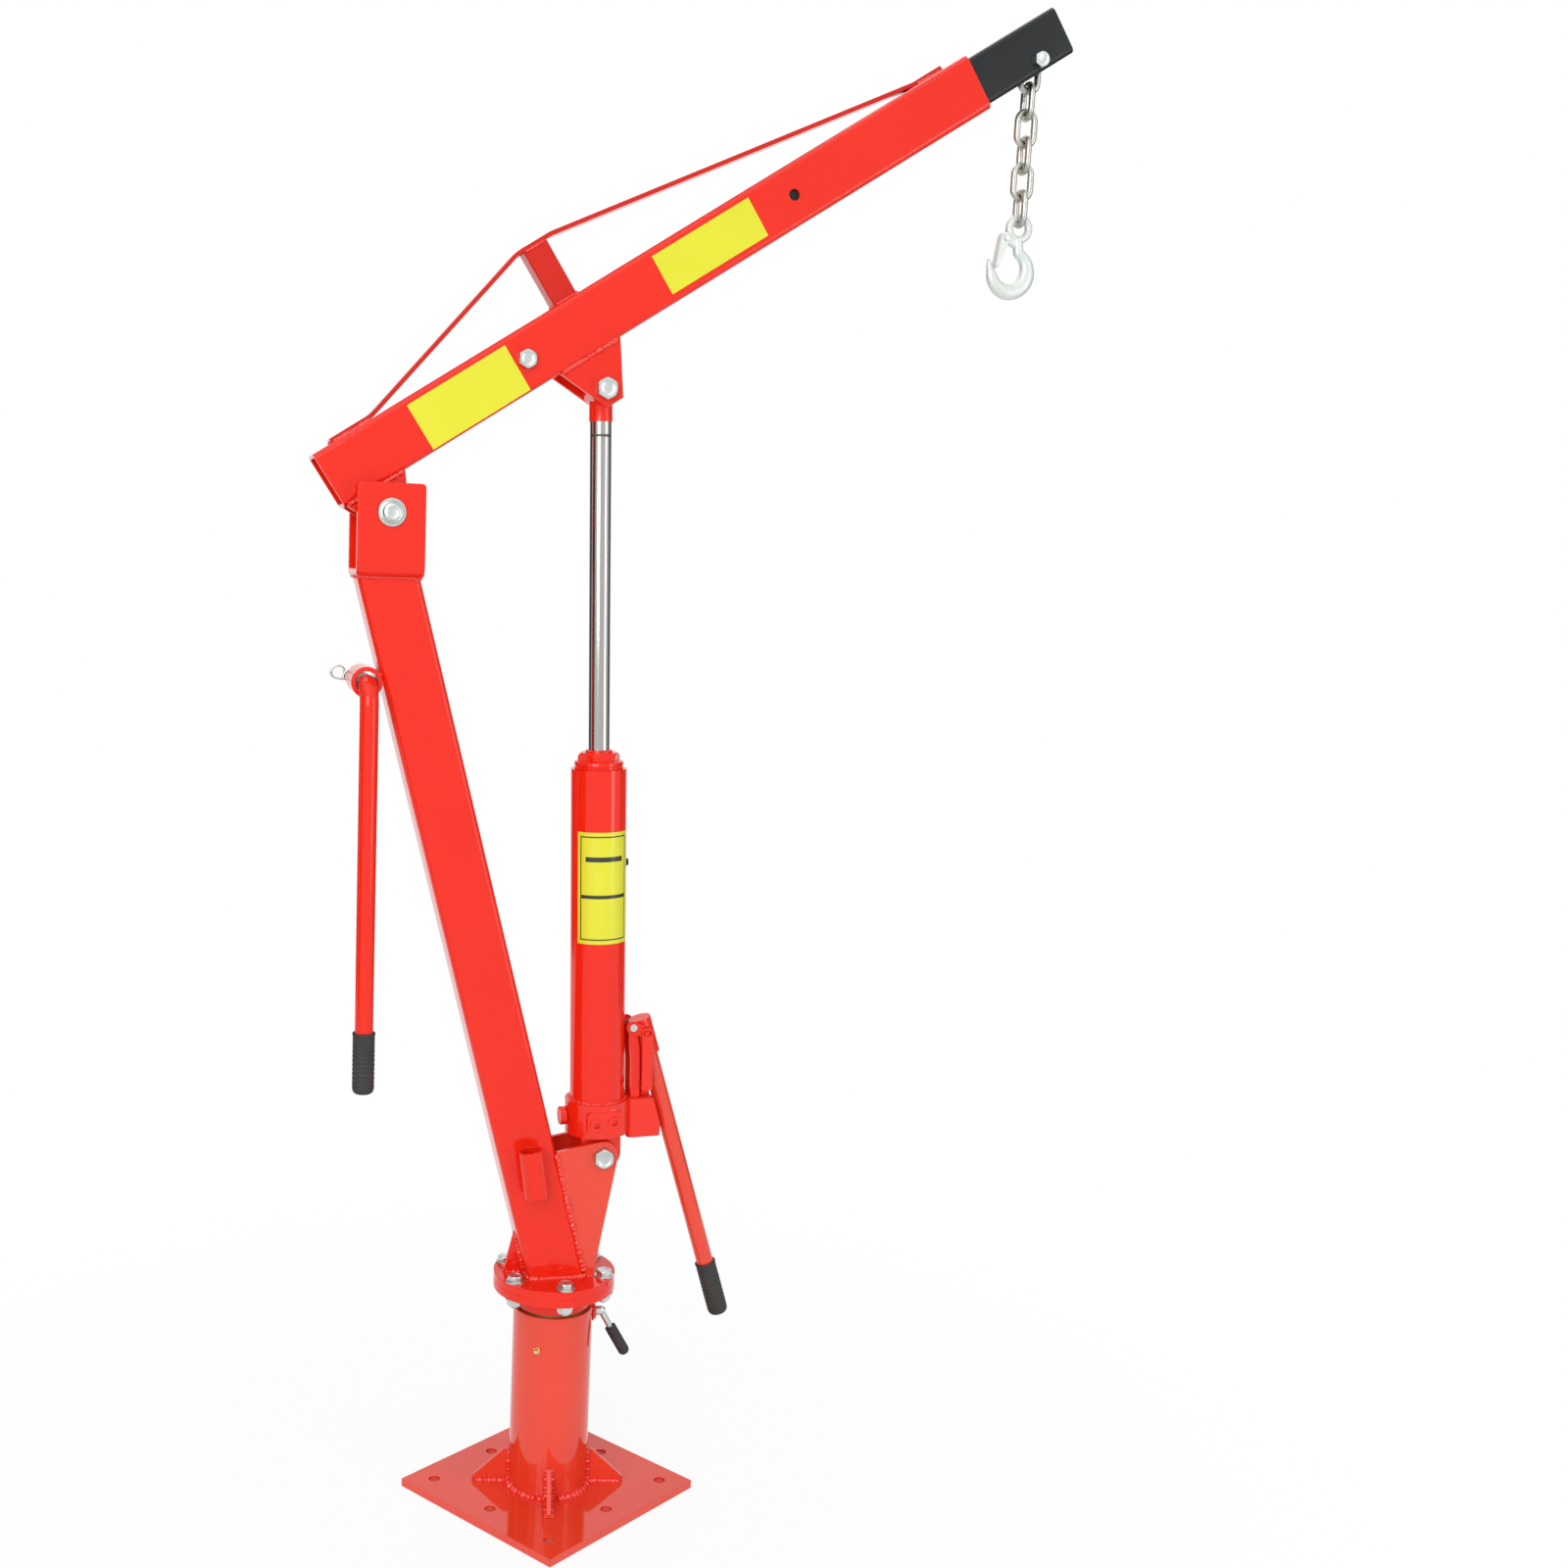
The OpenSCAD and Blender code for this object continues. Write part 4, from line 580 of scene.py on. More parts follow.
# These get the paler red, which is a painted reflection of the bright floor.
LOW = {"base_plate": 1.2, "base_gussets": 1.0, "post_tube": 0.8, "jack_cheeks": 1.0, "pump_bar": 1.0}
for rolls, material in ((PAINTED, paint_red), (TRUSS, paint_truss_shade), (LOW, paint_low_painted_sheen)):
    for node, roll in rolls.items():
        softened(node, material, roll)
softened("cylinder_base", paint_casting, 2.2, 3)
softened("plunger_yoke", paint_casting, 0.6)
softened("extension_tube", paint_black, 0.6)
softened("release_valve", paint_red, 0.4)
for node in ("fulcrum_pin", "lock_screw", "latch_pin"):
    softened(node, zinc, 0.4)
softened("hook_latch", hook_zinc, 0.4)
softened("pump_plunger", steel, 0.5)
softened("thrust_washer", bronze, 0.4)

# %% [markdown]
# ## Solids that stay as they are
# Some solids are round already, or small, or hidden, so a rolled edge would not show on them. They keep
# their own mesh and only get a finish in place of the plain one that they come with.

# %% Finishes for the solids that stay
AS_THEY_ARE = {"swivel_bushes": bronze, "grease_nipple": brass, "swivel_bar": paint_red, "ram_rod": chrome,
               "ram_piston": steel, "filler_plug": rubber, "lock_grip": rubber}
for node, material in AS_THEY_ARE.items():
    kept = frame["nodes"][node].data
    kept.materials.clear()
    kept.materials.append(material)
print("solids that stay:", len(AS_THEY_ARE))

# %% [markdown]
# ## Lift lugs
# Two plates under the boom carry the jack's upper bolt. They are sheared from bar: four straight cuts with
# a short flat nose. Each is an outline on the boom, drawn at both of its faces and closed at its middle.

# %% Lift lugs
LUG_TOP, LUG_NOSE, LUG_FACES = 40.5, 11.0, (20.0, 26.0)
LUG_FORE, NOSE_FORE, NOSE_W = 3.0, 1.0, -28.0
lug_u = LIFT_U + np.array([LUG_FORE - LUG_TOP, NOSE_FORE - LUG_NOSE,
                           NOSE_FORE + LUG_NOSE, LUG_FORE + LUG_TOP])
lug_w = np.array([BOOM_LOW, NOSE_W, NOSE_W, BOOM_LOW])
lugs = []
for side in (-1, 1):
    inner, outer = (on_boom(lug_u, side * y, lug_w) for y in LUG_FACES)
    rows = [0 * inner + inner.mean(0), inner, outer, 0 * outer + outer.mean(0)]
    lugs.append(surface(np.stack(rows), close_cols=True))
rolled(make_piece("lift_lug_plates", lugs, paint_red, "boom", ("lift_lugs",)), 1.0)
print("lift lugs:", len(lugs))

# %% [markdown]
# ## Bolts and nuts
# A hexagon head is turned to a cone at its end, so each flat closes in a curve. The surface is a cone
# turned round the bolt's axis and cut to the smaller of the cone and the hexagon, with a shallow dish in
# its face. Washers lie under the nuts, and a bolt's end shows its thread.


# %% Hexagons, washers and threads
def hexagon(at, axis, d, tall):
    """Hexagon across flats 1.5 d + 1.5, chamfered at its outer end, with a shallow dish in its face."""
    flats, rim = 1.5 * d + 1.5, 0.4
    corner = flats / 2 / math.cos(math.pi / 6) + 0.1
    rows = [(0, 0), (corner - rim, 0), (corner, rim), (corner, tall * 0.55)]
    chamfer = np.linspace(0.3, 1, 8)
    rows += [(flats / 2 * 0.97 + (1 - k) * 0.5 * tall, tall * (0.55 + 0.45 * k)) for k in chamfer]
    dish = ((0.9, 0), (0.76, 0), (0.68, 0.05), (0.4, 0.08), (0, 0.09))
    rows += [(flats / 2 * share, tall - dip * d) for share, dip in dish]
    return turned(rows, at, axis, 48, flats)


def washer_tall(d):
    """A washer's thickness: about an eighth of the bolt's diameter and 0.4 mm."""
    return 0.12 * d + 0.4


def washer(at, axis, d):
    """A flat ring a little over twice the bolt across, with rounded rims."""
    outer, tall, rim = 1.06 * d + 1.0, washer_tall(d), 0.3
    rows = [(0, 0), (outer - rim, 0), (outer, rim), (outer, tall - rim), (outer - rim, tall), (0, tall)]
    return turned(rows, at, axis, 40)


def thread(at, axis, d, length):
    """A bolt's end: its radius rises and falls once per turn of the thread and closes in a cone."""
    depth, pitch, chamfer = 0.055 * d, 0.12 * d + 0.3, 0.12 * d
    z = np.linspace(0, length, int(length * 6) + 2)
    r = d / 2 - depth * (1 - np.abs(((z / pitch) % 1.0) * 2 - 1))
    r = np.minimum(r, d / 2 - chamfer + (length - z))
    rows = np.concatenate([[[0, 0]], np.stack([r, z], 1), [[0, length]]])
    return turned(rows, at, axis, 24)


# %% [markdown]
# ## Bolts across the crane
# Four bolts run across the crane, with the head towards the viewer and the nut on the far side. The boom's
# pin is turned from bar: a riveted head with a rolled rim, a plain shank and a collar on its far end.

# %% Cross bolts and the boom pin
HEAD_TALL, NUT_TALL, THREAD_FROM, THREAD_LEN = 0.65, 0.8, 0.6, 0.4
STOP_U, STOP_W = 219.0, (BOOM_LOW + BOOM_HIGH) / 2


def bolt(at, d, half):
    """A bolt across the crane: head at -half, washer, nut and thread at +half, a shank between."""
    near, far = at - half * ACROSS, at + half * ACROSS
    shank = [(0, 0), (d / 2, 0), (d / 2, 2 * half), (0, 2 * half)]
    return [hexagon(near, -ACROSS, d, HEAD_TALL * d), hexagon(far, ACROSS, d, NUT_TALL * d),
            washer(far, ACROSS, d), thread(far + THREAD_FROM * d * ACROSS, ACROSS, d, THREAD_LEN * d),
            turned(shank, near, ACROSS, 24)]


# Each row: the solid, its middle, its diameter, half the width that it clamps, and its body.
CROSS_BOLTS = (("jack_bolt", JACK_FOOT, 14, 31, "mast"), ("lift_bolt", LIFT, 14, 26, "boom"),
               ("stop_bolt", on_boom(STOP_U, 0, STOP_W), 12, 31, "boom"),
               ("chain_bolt", CHAIN, 10, 26.4, "extension"))
for name, at, d, half, body in CROSS_BOLTS:
    make_piece(name + "_set", bolt(at, d, half), zinc, body, (name,))

CLEVIS_SIDE = 46
# Radius and height from the clevis: the far end and its collar, the shank, then the head's rolled rim.
pin = [(0, -102), (9.2, -102), (10, -101.2), (10, -98), (15.2, -98), (15.5, -97.7), (15.5, -92.3),
       (15.2, -92), (10, -92), (10, 0), (15.1, 0), (15.5, 0.4), (15.5, 2.2), (14.9, 2.9), (13.4, 3.0),
       (12.6, 2.2), (11.9, 1.7), (11.2, 1.9), (10.6, 3.0), (9.9, 4.4), (9.0, 5.3), (7.8, 5.8), (6.8, 5.9),
       (6.2, 5.5), (5.4, 5.3), (0, 5.3)]
pin_surface = turned(pin, PIN - CLEVIS_SIDE * ACROSS, -ACROSS, 56)
make_piece("boom_pin_set", [pin_surface], zinc, "mast", ("boom_pin", "boom_pin_collar"))
print("cross bolts:", len(CROSS_BOLTS), "and the boom pin")

# %% [markdown]
# ## Flange bolts
# Six bolts on one circle clamp the two flanges. Each has a washer under its head and one under its nut,
# and its end comes out below the nut.

# %% Flange bolts
FLANGE_BOLTS, FLANGE_R, FLANGE_STACK, FLANGE_D = 6, 63.0, 20.0, 10.0
WASHER_T = washer_tall(FLANGE_D)
TAIL_FROM, TAIL_LEN = 6.0, 7.0
heads, nuts = [], []
for k in range(FLANGE_BOLTS):
    angle = math.radians(30 + 60 * k)
    top = np.array([FLANGE_R * math.cos(angle), FLANGE_R * math.sin(angle), FLANGE_TOP])
    low = top - FLANGE_STACK * UP
    heads += [washer(top, UP, FLANGE_D), hexagon(top + WASHER_T * UP, UP, FLANGE_D, HEAD_TALL * FLANGE_D),
              thread(low - TAIL_FROM * UP, -UP, FLANGE_D, TAIL_LEN)]
    nuts += [washer(low, -UP, FLANGE_D), hexagon(low - WASHER_T * UP, -UP, FLANGE_D, NUT_TALL * FLANGE_D)]
make_piece("flange_bolt_set", heads, zinc, "mast", ("flange_bolts",))
make_piece("flange_nut_set", nuts, zinc, "mast", ("flange_nuts",))
print("flange bolts:", FLANGE_BOLTS)

# %% [markdown]
# ## Chain
# Each link is bent from wire and closed by a weld on one straight side, which leaves a slight swelling.
# The link is a circle carried along a stadium: two straights and two half circles.

# %% Chain links
LINKS, WIRE, LINK_PITCH, LINK_WIDTH, LINK_GAP = 6, 7.5, 30.5, 29.0, 0.3
CHAIN_BOLT_R, SWELL, SWELL_LEN = 5.0, 0.035, 3.0
BEND_R = (LINK_WIDTH - WIRE) / 2
LINK_HALF = (LINK_PITCH + WIRE) / 2
STRAIGHT = LINK_HALF - BEND_R
HALF_TURN = math.pi * BEND_R
ROUND_LINK = 4 * STRAIGHT + 2 * HALF_TURN
LINK_TOP = CHAIN[2] + CHAIN_BOLT_R + WIRE / 2 + LINK_GAP - LINK_HALF
LINK_STEP = LINK_PITCH - LINK_GAP
AHEAD = np.array([1.0, 0, 0])


def stadium(count):
    """Points of a stadium in (across, up), evenly along its length, from the middle of one straight.

    The turns a and b grow from 0 to a half circle as the length passes each end, and the straights
    rise, fall and rise again."""
    s = np.arange(count) / count * ROUND_LINK
    a = np.clip((s - STRAIGHT) / BEND_R, 0, np.pi)
    b = np.clip((s - 3 * STRAIGHT - HALF_TURN) / BEND_R, 0, np.pi)
    first = np.clip(s, 0, STRAIGHT)
    second = np.clip(s - STRAIGHT - HALF_TURN, 0, 2 * STRAIGHT)
    third = np.clip(s - 3 * STRAIGHT - 2 * HALF_TURN, 0, STRAIGHT)
    x = BEND_R * (np.cos(a) - np.cos(b) + 1)
    z = first - second + third + BEND_R * np.sin(a) - BEND_R * np.sin(b)
    return np.stack([x, z], 1), s


flat_link, s = stadium(96)
from_weld = np.minimum(s, ROUND_LINK - s)
wire_r = WIRE / 2 * (1 + SWELL * np.exp(-(from_weld / SWELL_LEN) ** 2))
for i in range(1, LINKS + 1):
    across, normal = (AHEAD, ACROSS) if i % 2 else (ACROSS, AHEAD)
    centre = np.array([CHAIN[0], 0, LINK_TOP - (i - 1) * LINK_STEP])
    path = centre + flat_link[:, :1] * across + flat_link[:, 1:] * UP
    link = swept(path, wire_r, wire_r, normal, 20, True)
    make_piece(f"link_{i}", [link], chain_zinc, f"chain_{i}", (f"chain_link_{i}",))
print("chain links:", LINKS, "step", LINK_STEP, "mm")

# %% [markdown]
# ## Forged hook
# The hook is forged from one bar: a round eye, a neck, a bowl that is thickest at its back and a point
# that turns out. Its middle line runs round the bowl's centre while its width and thickness change, and
# the smoothing keeps every change gradual, as a hammer leaves it.

# %% Places and helpers of the hook
EYE_WIRE, EYE_R = 9.0, 12.5
BOWL_AT, NECK_AT = np.array([-10.0, -49.0]), np.array([-0.5, -13.0])
HOOK_FROM, HOOK_TURN, HOOK_HALF = 62.0, 267.0, 10.0
NECK_ROWS, BOWL_ROWS, RING_ROWS = 14, 150, 72
eye_z = LINK_TOP - (LINKS - 1) * LINK_STEP - LINK_HALF + (WIRE + EYE_WIRE) / 2 + LINK_GAP - EYE_R
EYE = np.array([CHAIN[0], 0, eye_z])


def eased(fractions, stops, values):
    """Values between stops, each a mean of its 25 neighbours weighted by a bell, so no corner shows."""
    straight = np.interp(fractions, stops, values)
    pad = np.concatenate([np.full(12, straight[0]), straight, np.full(12, straight[-1])])
    bell = np.hanning(25)
    return np.convolve(pad, bell / bell.sum(), "valid")


def upright(flat):
    """Points of (ahead, up) as points in the plane of the boom."""
    return np.stack([flat[:, 0], 0 * flat[:, 0], flat[:, 1]], 1)


def arc(centre, size, start, end, count):
    """Points of an oval arc between two angles: its centre plus its size times cosine and sine."""
    angle = np.radians(np.linspace(start, end, count))
    return np.asarray(centre) + np.asarray(size) * np.stack([np.cos(angle), np.sin(angle)], 1)


print("hook eye at", EYE.round(1))

# %% Hook
share = np.linspace(0, 1, BOWL_ROWS)
reach = eased(share, [0, 0.62, 0.8, 0.9, 1], [24, 24, 22.5, 22.5, 29])
bowl = arc(BOWL_AT, reach[:, None], HOOK_FROM, HOOK_FROM - HOOK_TURN, BOWL_ROWS)
neck = NECK_AT + np.linspace(0, 0.92, NECK_ROWS)[:, None] * (bowl[0] - NECK_AT)
stops = [0, 0.3, 0.6, 0.86, 1]
bowl_wide = HOOK_HALF * eased(share, stops, [0.62, 1, 0.95, 0.66, 0.16])
bowl_thick = HOOK_HALF * eased(share, stops, [0.55, 0.72, 0.72, 0.55, 0.18])
hook_wide = np.concatenate([np.full(NECK_ROWS, 6.2), bowl_wide])
hook_thick = np.concatenate([np.full(NECK_ROWS, 5.5), bowl_thick])
ring = EYE + upright(arc((0, 0), EYE_R, 0, 360 - 360 / RING_ROWS, RING_ROWS))
# The ear that the latch turns on, and the web that joins it to the neck.
EAR = EYE + np.array([-17.0, 0, -12.5])
ear_rows = [(0, -4), (4.6, -4), (5.1, -3.5), (5.1, 3.5), (4.6, 4), (0, 4)]
to_neck = EAR + np.linspace(0, 1, 12)[:, None] * np.array([15.5, 0, -4.5])
hook_parts = [swept(EYE + upright(np.concatenate([neck, bowl])), hook_wide, hook_thick, ACROSS, 24),
              swept(ring, EYE_WIRE / 2, EYE_WIRE / 2, ACROSS, 24, True), turned(ear_rows, EAR, ACROSS, 32),
              swept(to_neck, np.linspace(5.2, 6.5, 12), 3.9, ACROSS, 20, square=0.6)]
make_piece("hook_forging", hook_parts, hook_zinc, "hook", ("hook_body",), 50)
print("hook's bowl from", HOOK_FROM, "degrees, turning", HOOK_TURN)

# %% [markdown]
# ## Grips
# A dipped grip swells slightly at its mouth, carries shallow ribs and ends in a round cap with a hole.
# It is a turned profile. Both handles wear the same grip, so one function makes it for each.

# %% Grips
BAR_D, GRIP_D, GRIP_LEN = 21.0, 26.0, 71.0
RIB, RIB_PITCH = 0.28, 5.2


def grip(name, at, axis, node, body):
    """A turned sleeve: a bead at the mouth, a waist whose ribs follow a sine, a round end with a hole."""
    mouth, rim = GRIP_D / 2, GRIP_LEN
    z = np.linspace(0.06, 0.9, 90) * rim
    fade = np.clip((z - 0.25 * rim) / 6, 0, 1) * np.clip((0.86 * rim - z) / 6, 0, 1)
    waist = mouth - 0.5 + RIB * np.sin(z * 2 * np.pi / RIB_PITCH) * fade
    end = np.radians(np.linspace(0, 80, 9))
    cap = np.stack([mouth - 4.5 + 4 * np.cos(end), 0.9 * rim + 0.1 * rim * np.sin(end)], 1)
    bead_rows = [[BAR_D / 2, 0.2], [mouth - 0.6, 0], [mouth, 0.9], [mouth, 2.6], [mouth - 0.5, 3.8]]
    hole = [[4.6, rim], [3.6, rim - 0.6], [3.4, rim - 5], [0, rim - 5]]
    rows = np.concatenate([bead_rows, np.stack([waist, z], 1), cap, hole])
    make_piece(name, [turned(rows, at, axis, 48)], rubber, body, (node,), 40)


HANDLE_LEAN, PUMP_BAR_LEN, SWIVEL_BAR_LEN = math.radians(15.4), 401.0, 462.0
FULCRUM_X, FULCRUM_T, HANDLE_OFF, SOCKET_END = 40.0, 154.0, 13.5, -4.0
DOWN_HANDLE = math.sin(HANDLE_LEAN) * OUT_JACK - math.cos(HANDLE_LEAN) * UP_JACK
BESIDE_HANDLE = math.cos(HANDLE_LEAN) * OUT_JACK + math.sin(HANDLE_LEAN) * UP_JACK
handle_start = on_jack(FULCRUM_X, 0, FULCRUM_T) + HANDLE_OFF * BESIDE_HANDLE + SOCKET_END * DOWN_HANDLE
pump_grip_at = handle_start + (PUMP_BAR_LEN - GRIP_LEN) * DOWN_HANDLE
grip("pump_grip_vinyl", pump_grip_at, DOWN_HANDLE, "pump_grip", "pump_handle")
SLEEVE_Z, SLEEVE_R, LEG_Z, LEG_NEAR = 998.0, 17.5, 996.3, -57.0
mast_x = MAST_FOOT - (SLEEVE_Z - FLANGE_TOP) * math.tan(MAST_LEAN)
sleeve_x = mast_x - MAST_HALF - SLEEVE_R / math.cos(MAST_LEAN)
LEG = np.array([sleeve_x, 0, LEG_Z])
swivel_grip_at = LEG + LEG_NEAR * ACROSS - (SWIVEL_BAR_LEN - GRIP_LEN) * UP
grip("swivel_grip_vinyl", swivel_grip_at, -UP, "swivel_grip", "swivel_handle")
print("grips at", pump_grip_at.round(1), swivel_grip_at.round(1))

# %% [markdown]
# ## Hairpin clip
# The clip that keeps the hanging handle in its sleeve is a sprung wire: one straight leg, an open loop and
# a humped leg. The three runs are joined end to end and smoothed, and a circle is carried along them.

# %% Hairpin clip
CLIP_WIRE, CLIP_LOOP, CLIP_Y = 3.0, 8.0, 39.0
LOOP_AT, HUMP_AT, HUMP_HALF = (-25.5, 8), (-2, 1), (17.5, 14.5)
straight = np.stack([np.linspace(19.5, -14.5, 40), np.zeros(40)], 1)
loop = arc(LOOP_AT, CLIP_LOOP, -90, -390, 90)
hump = arc(HUMP_AT, HUMP_HALF, 190, 40, 60)
runs = np.concatenate([straight, loop[6:], hump])
count = np.arange(len(runs))
smooth = np.stack([eased(count, count, runs[:, k]) for k in (0, 1)], 1)
clip = swept(LEG + CLIP_Y * ACROSS + upright(smooth), CLIP_WIRE / 2, CLIP_WIRE / 2, ACROSS, 14)
make_piece("hairpin_clip", [clip], zinc, "swivel_handle", ("r_clip",))
print("clip points:", len(smooth))

# %% [markdown]
# ## Gland nut
# The jack's top is a stepped gland: a shoulder that sits on the barrel, a groove, a hexagon to tighten it
# by, and a wiper ring round the rod. It is one turned profile below and a chamfered hexagon above.

# %% Gland
BARREL_TOP, BARREL_R, GLAND_STEP, GLAND_AF, GLAND_BORE = 466.0, 33.0, 9.0, 44.0, 12.6
# Radius and height: of the shoulder over the barrel's top, then of the hexagon over the shoulder.
shoulder = [(GLAND_BORE, -18), (27.9, -18), (27.9, -0.4), (28.7, 0), (29, 0.4), (29, 2.0), (28.3, 2.6),
            (28.3, 3.6), (29, 4.2), (29, 7.6), (28.6, 8.4), (27.4, GLAND_STEP), (GLAND_BORE, GLAND_STEP)]
hexa = [(GLAND_BORE, 0), (24.8, 0), (25.4, 0.5), (25.4, 6)]
hexa += [(21.4 + 4.0 * (1 - k), 6 + 4 * k) for k in np.linspace(0.3, 1, 8)]
hexa += [(20.6, 10), (16.4, 10), (16.0, 12.2), (14.6, 13.0), (GLAND_BORE, 13.0)]
gland_parts = [turned(shoulder, on_jack(0, 0, BARREL_TOP), UP_JACK, 64),
               turned(hexa, on_jack(0, 0, BARREL_TOP + GLAND_STEP), UP_JACK, 60, GLAND_AF)]
make_piece("gland", gland_parts, paint_red, "cylinder", ("gland_nut",))
print("gland on the barrel's top at", BARREL_TOP, "mm up the jack")

# %% [markdown]
# ## Groove round the rod
# A narrow groove is turned near the rod's top. Its shade is painted: a thin dark disc fills the
# groove's floor, a little below the chrome.

# %% Rod groove
NECK, BELOW_NECK, GROOVE, FLOOR_R = 35.0, 17.0, 2.9, 12.15
groove_t = JACK_LEN - NECK - BELOW_NECK
groove_rows = [(0, 0), (FLOOR_R, 0), (FLOOR_R, GROOVE), (0, GROOVE)]
groove = turned(groove_rows, on_jack(0, 0, groove_t), UP_JACK)
# The dark disc is painted shade in the groove.
make_piece("rod_groove", [groove], groove_painted_shade, "ram")
print("rod groove at", round(float(groove_t), 1), "mm up the jack")

# %% [markdown]
# ## Weld beads
# Every joint of the frame is a fillet weld: a row of overlapping ripples under the paint. A bead is a
# circle carried along the seam whose radius swells once per ripple. It sits half sunk in the corner, so
# only its rounded outer side shows. The tenths of a millimetre that the seams below add to a size move a
# bead's middle just off the steel.

# %% Seams and beads
STEP = 0.9
BEAD_SIDES = 10


def line(*stations):
    """Points every step along straight runs between stations."""
    stations = np.asarray(stations, float)
    runs = np.linalg.norm(np.diff(stations, axis=0), axis=1)
    at = np.concatenate([[0], np.cumsum(runs)])
    s = np.linspace(0, at[-1], max(int(at[-1] / STEP), 4))
    return np.stack([np.interp(s, at, stations[:, k]) for k in range(3)], 1)


def circle(centre, axis, radius):
    """Points every step round a circle: its centre plus its radius times cosine and sine."""
    x, y, _ = frame_of(axis)
    a = np.linspace(0, 2 * np.pi, max(int(2 * np.pi * radius / STEP), 8))
    return np.asarray(centre) + radius * (np.cos(a)[:, None] * x + np.sin(a)[:, None] * y)


def bead(path, size, ripple=3.6):
    """A rippled bead: its radius swells once per ripple, and three slower waves make it lumpy."""
    s = np.concatenate([[0], np.cumsum(np.linalg.norm(np.diff(path, axis=0), axis=1))])
    lump = 0.16 * np.sin(s / (1.9 * ripple) + 0.7)
    lump += 0.12 * np.sin(s / (0.83 * ripple) + 2.1)
    lump += 0.09 * np.sin(s / (0.31 * ripple))
    radius = size * (0.66 + 0.36 * np.sqrt(np.abs(np.sin(np.pi * s / ripple))) + lump)
    ends = np.clip(np.minimum(s, s[-1] - s) / size, 0.15, 1) ** 0.5
    ahead = np.gradient(path, axis=0)
    ahead /= np.linalg.norm(ahead, axis=1, keepdims=True)
    guide = np.where(np.abs(ahead[:, 2:]) < 0.9, [[0, 0, 1.0]], [[1.0, 0, 0]])
    side = np.cross(ahead, guide)
    side /= np.linalg.norm(side, axis=1, keepdims=True)
    over = np.cross(side, ahead)
    a = np.arange(BEAD_SIDES) * 2 * np.pi / BEAD_SIDES
    round_it = np.cos(a)[None, :, None] * side[:, None] + np.sin(a)[None, :, None] * over[:, None]
    points = path[:, None] + round_it * (radius * ends)[:, None, None]
    return surface(capped(points, path), close_cols=True)


def weld_piece(name, beads, body):
    """All beads of one body as one painted piece."""
    make_piece(name, beads, paint_weld, body, (), 60)
    print(name + ":", len(beads), "beads")


# %% [markdown]
# ## Welds on the pedestal
# The post is welded to its plate all round. Each of the four gussets has a bead on both sides, along its
# foot and up the post, and the lock screw's boss has one round it. The base plate is turned by 34
# degrees and the gussets point at its corners.

# %% Pedestal welds
PLATE_TOP, POST_R, BASE_TURN = 10.0, 48.5, 34.0
GUSSET_LEN, GUSSET_H, GUSSET_SIDE = 45.0, 42.0, 3.0
LOCK_Z, LOCK_BOSS_R = 228.0, 10.0
base_welds = [bead(circle((PLATE_TOP + 0.2) * UP, UP, POST_R + 0.9), 5.6, 6.5)]
for k in range(4):
    angle = math.radians(BASE_TURN + 45 + 90 * k)
    out = np.array([math.cos(angle), math.sin(angle), 0])
    side = np.array([-math.sin(angle), math.cos(angle), 0])
    for s in (-1, 1):
        foot = (GUSSET_SIDE + 0.4) * s * side + (PLATE_TOP + 0.3) * UP
        wall = (POST_R + 0.4) * out + (GUSSET_SIDE + 0.6) * s * side
        along = line((POST_R + 1.5) * out + foot, (POST_R + GUSSET_LEN - 1.5) * out + foot)
        upwards = line(wall + (PLATE_TOP + 2) * UP, wall + (PLATE_TOP + GUSSET_H - 1) * UP)
        base_welds += [bead(along, 4.0, 6.0), bead(upwards, 3.4, 5.5)]
base_welds += [bead(circle([POST_R + 0.7, 0, LOCK_Z], AHEAD, LOCK_BOSS_R + 0.4), 1.6)]
weld_piece("welds_base", base_welds, "base")

# %% [markdown]
# ## Welds on the mast
# The mast is welded to the flange at its foot and to the clevis at its head, and the spindle's collar has a
# ring under the flange. The seams up the cheeks and the rear gusset lean with the mast, those of the socket
# on its side lean less, and those of the sleeve behind it run across. A loop round the square tube is a
# superellipse: powers of sine and cosine below one give it rounded corners.

# %% Mast welds
MAST_FRONT, MAST_BACK, MAST_SIDE = MAST_FOOT + MAST_HALF, MAST_FOOT - MAST_HALF, 31.0
FLANGE_LOW, COLLAR_R = 266.0, 45.0
CHEEK_IN, CHEEK_OUT = 25.0, 31.0
REAR_SIDE = 3.4
LOOP_POWER, LOOP_POINTS = 0.28, 400
CHEEK_OUTER_RUN, CHEEK_INNER_RUN, REAR_RUN = (5, 155), (6, 148), (3, 49)
CHEEK_FOOT, REAR_FOOT = (33, 41), (-63, -40)
SOCKET_LEAN, SOCKET_AT = math.radians(9), np.array([-39.466, -46, 425.0])
SOCKET_BACK, SOCKET_APART, SOCKET_RUN = 13.6, 6.0, 27
SLEEVE_FRONT, SLEEVE_APART, SLEEVE_RUN = 17.0, 4.8, 29


def mast_face(x_at_foot, y, z):
    """A place on the mast: from where its line meets the flange, back by the lean's tangent per height."""
    return np.array([x_at_foot - (z - FLANGE_TOP) * math.tan(MAST_LEAN), y, z])


def up_the_mast(x_at_foot, y, run):
    """A seam that leans with the mast, between two heights over the flange."""
    return line(*[mast_face(x_at_foot, y, FLANGE_TOP + z) for z in run])


def on_flange(run, y, off):
    """A seam along the flange, from one place ahead to another, a little off its top."""
    return line(*[[x, y, FLANGE_TOP + off] for x in run])


